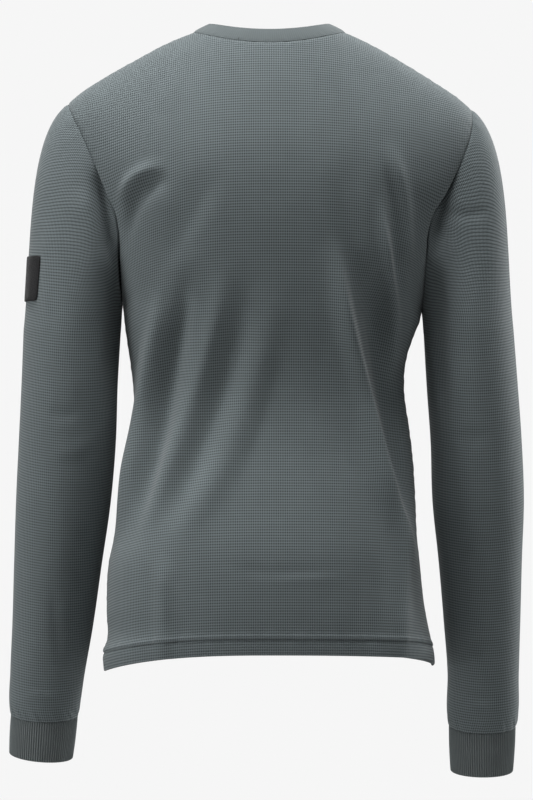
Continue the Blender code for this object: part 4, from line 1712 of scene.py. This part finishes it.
@dataclass
class Sleeve:
    """A set-in sleeve: a tube from the armhole seam to the cuff seam."""

    side: Side
    creases: dict[Face, list[Crease]]
    flat: tuple[float, float]
    cut_area: float
    seed: int
    columns: int = 154
    cap_rows: int = 84
    arm_rows: int = 140
    end_rows: int = 8
    cap_fullness: float = 0.68
    cap_lean: float = 0.11
    over_shoulder: tuple[float, float] = (0.82, 0.57)
    under_arm: float = 0.15
    held_rows: int = 5
    # How soon the creases of one face give way to those of the other.
    face_turn: float = 2.5
    # The seams and the gathers at the cuff.
    seam: Swell = Swell(0.0009, 0.0, 0.0018)
    pucker: Swell = Swell(0.0004, 0.005, 0.005)
    pucker_wave: float = 0.012
    cuff_seam: Swell = Swell(0.0004, 0.0, 0.0015)
    cuff_gather: Swell = Swell(0.0007, 0.006, 0.007)
    gather_wave: float = 0.011
    under_seam: Swell = Swell(0.0006, 0.0, 0.002)

    @property
    def name(self) -> str:
        """Return the sleeve's node name."""
        return f"sleeve_{self.side.name.lower()}"

    def plain_points(self, angle: np.ndarray) -> np.ndarray:
        """Shape the sleeve without its creases.

        Args:
            angle: The columns' angles round the arm, from its outermost line.

        Returns:
            Rows of points from the armhole seam down to the cuff seam.
        """
        sign = self.side.value
        arm = ArmAxis(self.side)
        rows = SLEEVE_SECTIONS[self.side]
        seam = ARMHOLES[self.side].loop(np.arctan2(np.sin(angle), np.cos(angle)))
        seam[:, 0] += sign * SEAM_GAP / 2
        row, slope = arm.section_at(rows, rows[0].z)
        first = arm.ring(row, slope, angle)
        chord = np.linalg.norm(first - seam, axis=1)[:, None]
        outside = ((1 + np.cos(angle)) / 2)[:, None]
        over_shoulder = np.array([sign * self.over_shoulder[0], 0.0, -self.over_shoulder[1]])
        under_arm = np.array([sign * self.under_arm, 0.0, -1.0])
        start = unit(over_shoulder * outside + under_arm * (1 - outside)) * chord * self.cap_fullness
        end = np.array([sign * self.cap_lean, 0.0, -1.0]) * chord
        points = []
        for share in np.linspace(0, 1, self.cap_rows + 1):
            rest = 1 - share
            points.append(seam * rest**2 * (1 + 2 * share) + first * share**2 * (1 + 2 * rest)
                          + start * share * rest**2 - end * share**2 * rest)
        heights = np.linspace(rows[0].z, rows[-2].z, self.arm_rows + 1)[1:]
        heights = np.append(heights, np.linspace(rows[-2].z, rows[-1].z, self.end_rows + 1)[1:])
        for z in heights:
            row, slope = arm.section_at(rows, z)
            points.append(arm.ring(row, slope, angle))
        return np.array(points)

    def crease_height(self, points: np.ndarray, outward: np.ndarray) -> np.ndarray:
        """Return the creases' relief at points with the given outward normals.

        Args:
            points: The points.
            outward: Their outward normals.

        Returns:
            How far each point is raised.
        """
        relief = np.zeros(points.shape[:2])
        for face, creases in self.creases.items():
            shown = smooth_step(outward[..., 1] * face.value * self.face_turn)
            relief += shown * crease_relief(points[..., 0], points[..., 2], creases)
        return relief

    def build(self, knit: bpy.types.Material) -> list[bpy.types.Object]:
        """Build the sleeve.

        Args:
            knit: Its material.

        Returns:
            The sleeve alone, as a list.
        """
        angle = self.side.value * (np.linspace(0, 2 * pi, self.columns, endpoint=False) - pi)
        outer = self.plain_points(angle)
        outward = normals(outer, closed=True)
        outer = outer + outward * self.crease_height(outer, outward)[..., None]
        weave = weave_of(outer[::-1], closed=True)[::-1]
        outward = normals(outer, closed=True)
        seam_normal = ARMHOLES[self.side].normal(np.arctan2(np.sin(angle), np.cos(angle)))
        for row in range(self.held_rows):
            share = row / self.held_rows
            outward[row] = unit(seam_normal * (1 - share) + outward[row] * share)
        down = lengths_along(outer, 0)
        left = down[-1:] - down
        round_arm = lengths_along(outer, 1)
        under = np.minimum(round_arm, round_arm[:, -1:] - round_arm)
        puckers = ripple(round_arm, self.pucker_wave, self.seed) * self.pucker.at(down)
        gathers = ripple(round_arm, self.gather_wave, self.seed + 1) * self.cuff_gather.at(left)
        seams = self.seam.at(down) + self.cuff_seam.at(left) + self.under_seam.at(under)
        outer = outer + outward * (puckers + gathers - seams)[..., None]
        inner = outer - outward * KNIT_WALL
        mesh = Wall(outer, inner, weave, closed=True).mesh(f"{self.name}_cloth")
        sleeve = add_piece(f"{self.name}_cloth", mesh, knit, self.name)
        return [sleeve]


@dataclass
class Cuff:
    """A double cuff of rib knit, folded at its lower edge."""

    side: Side
    flat: tuple[float, float]
    ribs: int = 86
    columns_a_rib: int = 6
    rows: int = 18
    rib_height: float = 0.0008
    slant: float = 0.03
    belly: float = 0.0005
    end_steps: tuple[float, ...] = (0.0, 0.08, 0.3, 0.6, 1.0)
    coarse: int = 3

    @property
    def name(self) -> str:
        """Return the cuff's node name."""
        return f"cuff_{self.side.name.lower()}"

    def build(self, rib: bpy.types.Material) -> list[bpy.types.Object]:
        """Build the cuff.

        Args:
            rib: Its material.

        Returns:
            The cuff alone, as a list.
        """
        arm = ArmAxis(self.side)
        sign = self.side.value
        top, bottom = CUFF_ENDS[self.side]
        sleeve_rows = SLEEVE_SECTIONS[self.side]
        _, sleeve_slope = arm.section_at(sleeve_rows, sleeve_rows[-1].z)
        run = top.z - bottom.z
        lean_x = sign * (top.outer + top.inner - bottom.outer - bottom.inner) / 2 / run
        lean_y = (top.middle - bottom.middle) / run
        columns = self.ribs * self.columns_a_rib
        plain_angle = np.linspace(0, 2 * pi, columns, endpoint=False) - pi
        wave = np.cos(plain_angle * self.ribs) * self.rib_height / 2
        radius = BAND_WALL / 2
        ends = radius * np.array(self.end_steps)
        between = np.linspace(radius, run - radius, self.rows)[1:-1]
        outer, inner = [], []
        for distance in np.concatenate([ends, between, run - ends[::-1]]):
            share = distance / run
            tuck = end_tuck(min(distance, run - distance), radius)
            row = Section(*[a + (b - a) * share for a, b in zip(top, bottom)])
            slope = tuple(a + (b - a) * share for a, b in zip(sleeve_slope, (lean_x, lean_y)))
            angle = sign * (plain_angle + self.slant * share)
            plain = arm.ring(row, slope, angle)
            inside = arm.ring(row, slope, angle, grow=-BAND_WALL)
            outward = unit(plain - inside)
            raised = wave * (1 - tuck / radius) - tuck + self.belly * sin(pi * share)
            outer.append(plain + outward * raised[:, None])
            inner.append(inside + outward * tuck)
        outer = np.array(outer)
        weave = weave_of(outer[::-1], closed=True)[::-1]
        ribs_across = np.linspace(0, self.ribs, columns + 1) - self.ribs / 2 + 0.5
        weave[..., 0] = ribs_across * RibKnit().pitch
        wall = Wall(outer, np.array(inner), weave, closed=True, coarse=self.coarse)
        cuff = add_piece(f"{self.name}_rib", wall.mesh(f"{self.name}_rib"), rib, self.name)
        sleeve = f"sleeve_{self.side.name.lower()}_cloth"
        return [cuff]


@dataclass
class Neckband:
    """The folded neckband, which leans inwards on the points of the neck seam."""

    height: float = 0.020
    bow: float = 0.0006
    rows: int = 14
    ribs: int = 230
    flat: tuple[float, float] = (0.475, 0.0205)
    end_steps: tuple[float, ...] = (0.0, 0.1, 0.35, 0.65, 1.0)
    seam: Swell = Swell(0.0005, 0.0, 0.0016)
    unevenness: float = 0.7
    pucker: Swell = Swell(0.00025, 0.004, 0.003)
    pucker_wave: float = 0.009
    seed: int = 31
    join: float = 0.0326
    tack_rows: int = 4
    tack_depth: float = 0.0001

    def build(self, rib: bpy.types.Material, thread: bpy.types.Material) -> list[bpy.types.Object]:
        """Build the neckband and the tack at its join.

        Args:
            rib: The neckband's material.
            thread: The tack's material.

        Returns:
            The neckband and the tack.
        """
        back, front = NECK.angles(Face.BACK), NECK.angles(Face.FRONT)
        angle = np.concatenate([back, front[::-1][1:-1]])[::-1]
        loop = NECK.loop(angle)
        outward, upward = NECK.directions(angle)
        around = lengths_along(np.concatenate([loop, loop[:1]]), 0)
        seam_wave = ripple(around[:-1], self.pucker_wave, self.seed)
        radius = BAND_WALL / 2
        rounded = self.height - radius * np.array(self.end_steps)
        straight = np.linspace(self.height - radius, SEAM_GAP / 2, self.rows)[1:]
        outer, inner = [], []
        for up in np.concatenate([rounded, straight]):
            tuck = end_tuck(self.height - up, radius)
            out = self.bow * sin(pi * up / self.height) + seam_wave * self.pucker.at(up)
            out = out - (1 + self.unevenness * seam_wave) * self.seam.at(up)
            line = loop + upward * up
            outer.append(line + outward * (out - tuck)[:, None])
            inner.append(line - outward * (BAND_WALL - tuck))
        outer = np.array(outer)
        weave = weave_of(outer[::-1], closed=True)[::-1]
        weave[..., 0] = around * (self.ribs * RibKnit().pitch / around[-1])
        mesh = Wall(outer, np.array(inner), weave, closed=True).mesh("neckband_rib")
        band = add_piece("neckband_rib", mesh, rib, "neckband")
        column = int(np.argmin(np.abs(loop[:, 0] - self.join) + (loop[:, 1] < 0)))
        path = outer[:-1 - self.tack_rows:-1, column]
        lift = np.repeat(outward[column:column + 1], len(path), axis=0)
        stitch = StitchLine(pitch=0.0042, length=0.0036, radius=0.0004)
        tack = stitch.build("neckband_tack", path, lift, self.tack_depth)
        line = add_piece("neckband_tack", tack, thread)
        return [band, line]


@dataclass
class Badge:
    """A plain square patch, sewn on the left sleeve."""

    sleeve: Sleeve
    top: float = -0.240
    bottom: float = -0.288
    first_angle: float = radians(-10.9)
    last_angle: float = radians(43.6)
    rows: int = 48
    columns: int = 48
    thickness: float = 0.0014
    gap: float = 0.0005
    corner: float = 0.06
    corner_power: int = 14
    edge: Swell = Swell(0.0006, 0.0, 0.0007)
    groove: Swell = Swell(0.00025, 0.0022, 0.0008)
    side_steps: int = 40
    flat: tuple[float, float] = (0.053, 0.048)

    def base_points(self) -> np.ndarray:
        """Find the sleeve's face under the patch.

        Returns:
            Rows of points from the patch's bottom up.
        """
        angle = np.linspace(self.first_angle, self.last_angle, self.columns + 1)
        strips = self.sleeve.plain_points(angle)
        outward = normals(strips, closed=False)
        strips = strips + outward * self.sleeve.crease_height(strips, outward)[..., None]
        heights = np.linspace(self.top, self.bottom, self.rows + 1)
        points = np.zeros((self.rows + 1, self.columns + 1, 3))
        for column in range(self.columns + 1):
            strip = strips[::-1, column]
            for axis in range(3):
                points[:, column, axis] = np.interp(heights, strip[:, 2], strip[:, axis])
        return points

    def build(self, twill: bpy.types.Material, thread: bpy.types.Material) -> list[bpy.types.Object]:
        """Build the patch and the stitches round its edge.

        Args:
            twill: The patch's material.
            thread: The stitches' material.

        Returns:
            The patch and the line of stitches.
        """
        base = self.base_points()
        row = np.linspace(-1, 1, self.rows + 1)[:, None] * np.ones(self.columns + 1)
        column = np.linspace(-1, 1, self.columns + 1)[None] * np.ones((self.rows + 1, 1))
        pull = 1 - self.corner * np.abs(row * column)**self.corner_power
        points = sample(base, (row * pull + 1) / 2 * self.rows, (column * pull + 1) / 2 * self.columns)
        outward = normals(points, closed=False)
        half = self.flat[1] / 2
        away = (1 - np.maximum(np.abs(row), np.abs(column))) * half
        inner = points + outward * self.gap
        height = self.thickness - self.edge.at(away) - self.groove.at(away)
        outer = inner + outward * height[..., None]
        weave = weave_of(outer, closed=False)
        mesh = Wall(outer, inner, weave, closed=False).mesh("badge_patch")
        patch = add_piece("badge_patch", mesh, twill, "badge")
        share = 1 - self.groove.away / half
        step = np.linspace(0, 1, self.side_steps, endpoint=False)
        corners = [(-1, -1), (-1, 1), (1, 1), (1, -1), (-1, -1)]
        path, lift = [], []
        for (row_a, column_a), (row_b, column_b) in zip(corners[:-1], corners[1:]):
            at_row = ((row_a + (row_b - row_a) * step) * share + 1) / 2 * self.rows
            at_column = ((column_a + (column_b - column_a) * step) * share + 1) / 2 * self.columns
            path.append(sample(outer, at_row, at_column))
            lift.append(sample(outward, at_row, at_column))
        stitch = StitchLine(pitch=0.0027, length=0.0021, radius=0.00025)
        stitches = stitch.build("badge_stitches", np.concatenate(path), np.concatenate(lift), 0.0)
        line = add_piece("badge_stitches", stitches, thread)
        return [patch, line]


class Lamp(NamedTuple):
    """A square soft light: its name, its place, the length of its sides and its power in watts."""

    name: str
    place: tuple[float, float, float]
    size: float
    power: float


LAMPS = [
    Lamp("top_light", (0.1, 0.7, 3.2), 1.5, 192.0),
    Lamp("left_high", (2.6, 0.95, 1.5), 1.5, 26.0),
    Lamp("left_low", (2.8, 0.9, -0.3), 1.5, 36.0),
    Lamp("right_low", (-2.6, 1.2, -0.6), 1.5, 12.0),
    Lamp("right_back", (-2.3, -1.4, 0.4), 1.5, 78.0),
    Lamp("camera_low", (0.3, 3.3, -0.9), 1.5, 6.0),
    Lamp("front_fill", (1.2, -3.0, 0.8), 1.6, 42.0),
]


@dataclass
class Studio:
    """The camera, the pale floor and the soft lights."""

    distance: float = 3.5
    centre: tuple[float, float] = (0.003, -0.393)
    view_height: float = 0.856
    sensor: float = 36.0
    floor_height: float = -1.45
    floor_radius: float = 2.6
    floor_depth: float = 0.02
    floor_sides: int = 96
    floor_colour: tuple[float, float, float] = (0.32, 0.32, 0.316)
    floor_roughness: float = 0.8
    glow_colour: tuple[float, float, float] = (1.0, 1.0, 0.99)
    glow: float = 0.3
    backdrop: float = 0.922
    surround: tuple[float, float, float] = (0.004, 0.006, 0.012)

    def camera(self) -> None:
        """Set the camera square behind the top."""
        data = bpy.data.cameras.new("camera")
        data.sensor_width = self.sensor
        data.lens = self.sensor * self.distance / self.view_height
        camera = bpy.data.objects.new("camera", data)
        camera.location = (self.centre[0], self.distance, self.centre[1])
        camera.rotation_euler = (pi / 2, 0.0, pi)
        bpy.context.scene.collection.objects.link(camera)
        bpy.context.scene.camera = camera

    def floor(self) -> None:
        """Lay a plain pale floor, whose glow only the camera sees."""
        bpy.ops.mesh.primitive_cylinder_add(
            vertices=self.floor_sides, radius=self.floor_radius, depth=self.floor_depth,
            location=(0.0, 0.0, self.floor_height - self.floor_depth / 2))
        floor = bpy.context.object
        floor.name = "floor"
        material = bpy.data.materials.new("pale_floor")
        material.use_nodes = True
        shader = material.node_tree.nodes["Principled BSDF"]
        shader.inputs["Base Color"].default_value = (*self.floor_colour, 1.0)
        shader.inputs["Roughness"].default_value = self.floor_roughness
        shader.inputs["Emission Color"].default_value = (*self.glow_colour, 1.0)
        seen = material.node_tree.nodes.new("ShaderNodeLightPath")
        glow = material.node_tree.nodes.new("ShaderNodeMath")
        glow.operation = "MULTIPLY"
        glow.inputs[1].default_value = self.glow
        material.node_tree.links.new(seen.outputs["Is Camera Ray"], glow.inputs[0])
        material.node_tree.links.new(glow.outputs[0], shader.inputs["Emission Strength"])
        floor.data.materials.append(material)

    def light(self, lamp: Lamp) -> None:
        """Hang a light that faces the top.

        Args:
            lamp: The light.
        """
        data = bpy.data.lights.new(lamp.name, "AREA")
        data.shape = "SQUARE"
        data.size = lamp.size
        data.energy = lamp.power
        hung = bpy.data.objects.new(lamp.name, data)
        hung.location = lamp.place
        aim = Vector((0.0, 0.0, self.centre[1])) - Vector(lamp.place)
        hung.rotation_euler = aim.to_track_quat("-Z", "Y").to_euler()
        bpy.context.scene.collection.objects.link(hung)

    def world(self) -> None:
        """Surround the top with soft light, from dim below to brighter above, and a pale backdrop."""
        world = bpy.data.worlds.new("soft_surround")
        bpy.context.scene.world = world
        world.use_nodes = True
        tree = world.node_tree
        background = tree.nodes["Background"]
        place = tree.nodes.new("ShaderNodeTexCoord")
        parts = tree.nodes.new("ShaderNodeSeparateXYZ")
        tree.links.new(place.outputs["Generated"], parts.inputs["Vector"])
        ramp = tree.nodes.new("ShaderNodeMapRange")
        ramp.inputs["From Min"].default_value = -1.0
        tree.links.new(parts.outputs["Z"], ramp.inputs["Value"])
        shades = tree.nodes.new("ShaderNodeValToRGB")
        tree.links.new(ramp.outputs["Result"], shades.inputs["Fac"])
        shades.color_ramp.elements.new(0.5)
        for stop, level in zip(shades.color_ramp.elements, self.surround):
            stop.color = (level, level, level, 1.0)
        seen = tree.nodes.new("ShaderNodeLightPath")
        choice = tree.nodes.new("ShaderNodeMix")
        choice.data_type = "RGBA"
        tree.links.new(seen.outputs["Is Camera Ray"], choice.inputs["Factor"])
        tree.links.new(shades.outputs["Color"], choice.inputs["A"])
        choice.inputs["B"].default_value = (self.backdrop, self.backdrop, self.backdrop, 1.0)
        tree.links.new(choice.outputs["Result"], background.inputs["Color"])

    def build(self) -> None:
        """Set up the camera, floor, lights and view."""
        self.camera()
        self.floor()
        for lamp in LAMPS:
            self.light(lamp)
        self.world()
        bpy.context.scene.view_settings.view_transform = "Standard"


def main() -> None:
    """Build the top in the order that it is sewn, report each piece, and light it."""
    logging.basicConfig(level=logging.INFO, format="%(name)s: %(message)s")
    knit = WaffleKnit().material("waffle_knit")
    rib = RibKnit().material("rib_knit")
    band = BAND_KNIT.material("band_knit")
    twill = Twill().material("patch_twill")
    thread = Thread().material("sewing_thread")
    black_thread = BLACK_THREAD.material("black_thread")
    tack_thread = TACK_THREAD.material("tack_thread")
    back = Panel(Face.BACK, BACK_CREASES, flat=(0.490, 0.700), cut_area=0.285, seed=101)
    front = Panel(Face.FRONT, FRONT_CREASES, flat=(0.490, 0.700), cut_area=0.278, seed=211,
                  nape_rise=0.012)
    left = Sleeve(Side.LEFT, LEFT_SLEEVE_CREASES, flat=(0.370, 0.670), cut_area=0.177, seed=307)
    right = Sleeve(Side.RIGHT, RIGHT_SLEEVE_CREASES, flat=(0.370, 0.680), cut_area=0.172, seed=401)
    pieces = back.build(knit, thread)
    pieces += front.build(knit, thread)
    pieces += left.build(knit)
    pieces += right.build(knit)
    pieces += Cuff(Side.LEFT, flat=(0.213, 0.0455)).build(rib)
    pieces += Cuff(Side.RIGHT, flat=(0.215, 0.0500)).build(rib)
    pieces += Neckband().build(band, tack_thread)
    pieces += Badge(left).build(twill, black_thread)
    for piece in pieces:
        LOG.info("%s: %d points, %d faces", piece.name, len(piece.data.vertices), len(piece.data.polygons))
    Studio().build()


if __name__ == "__main__":
    main()
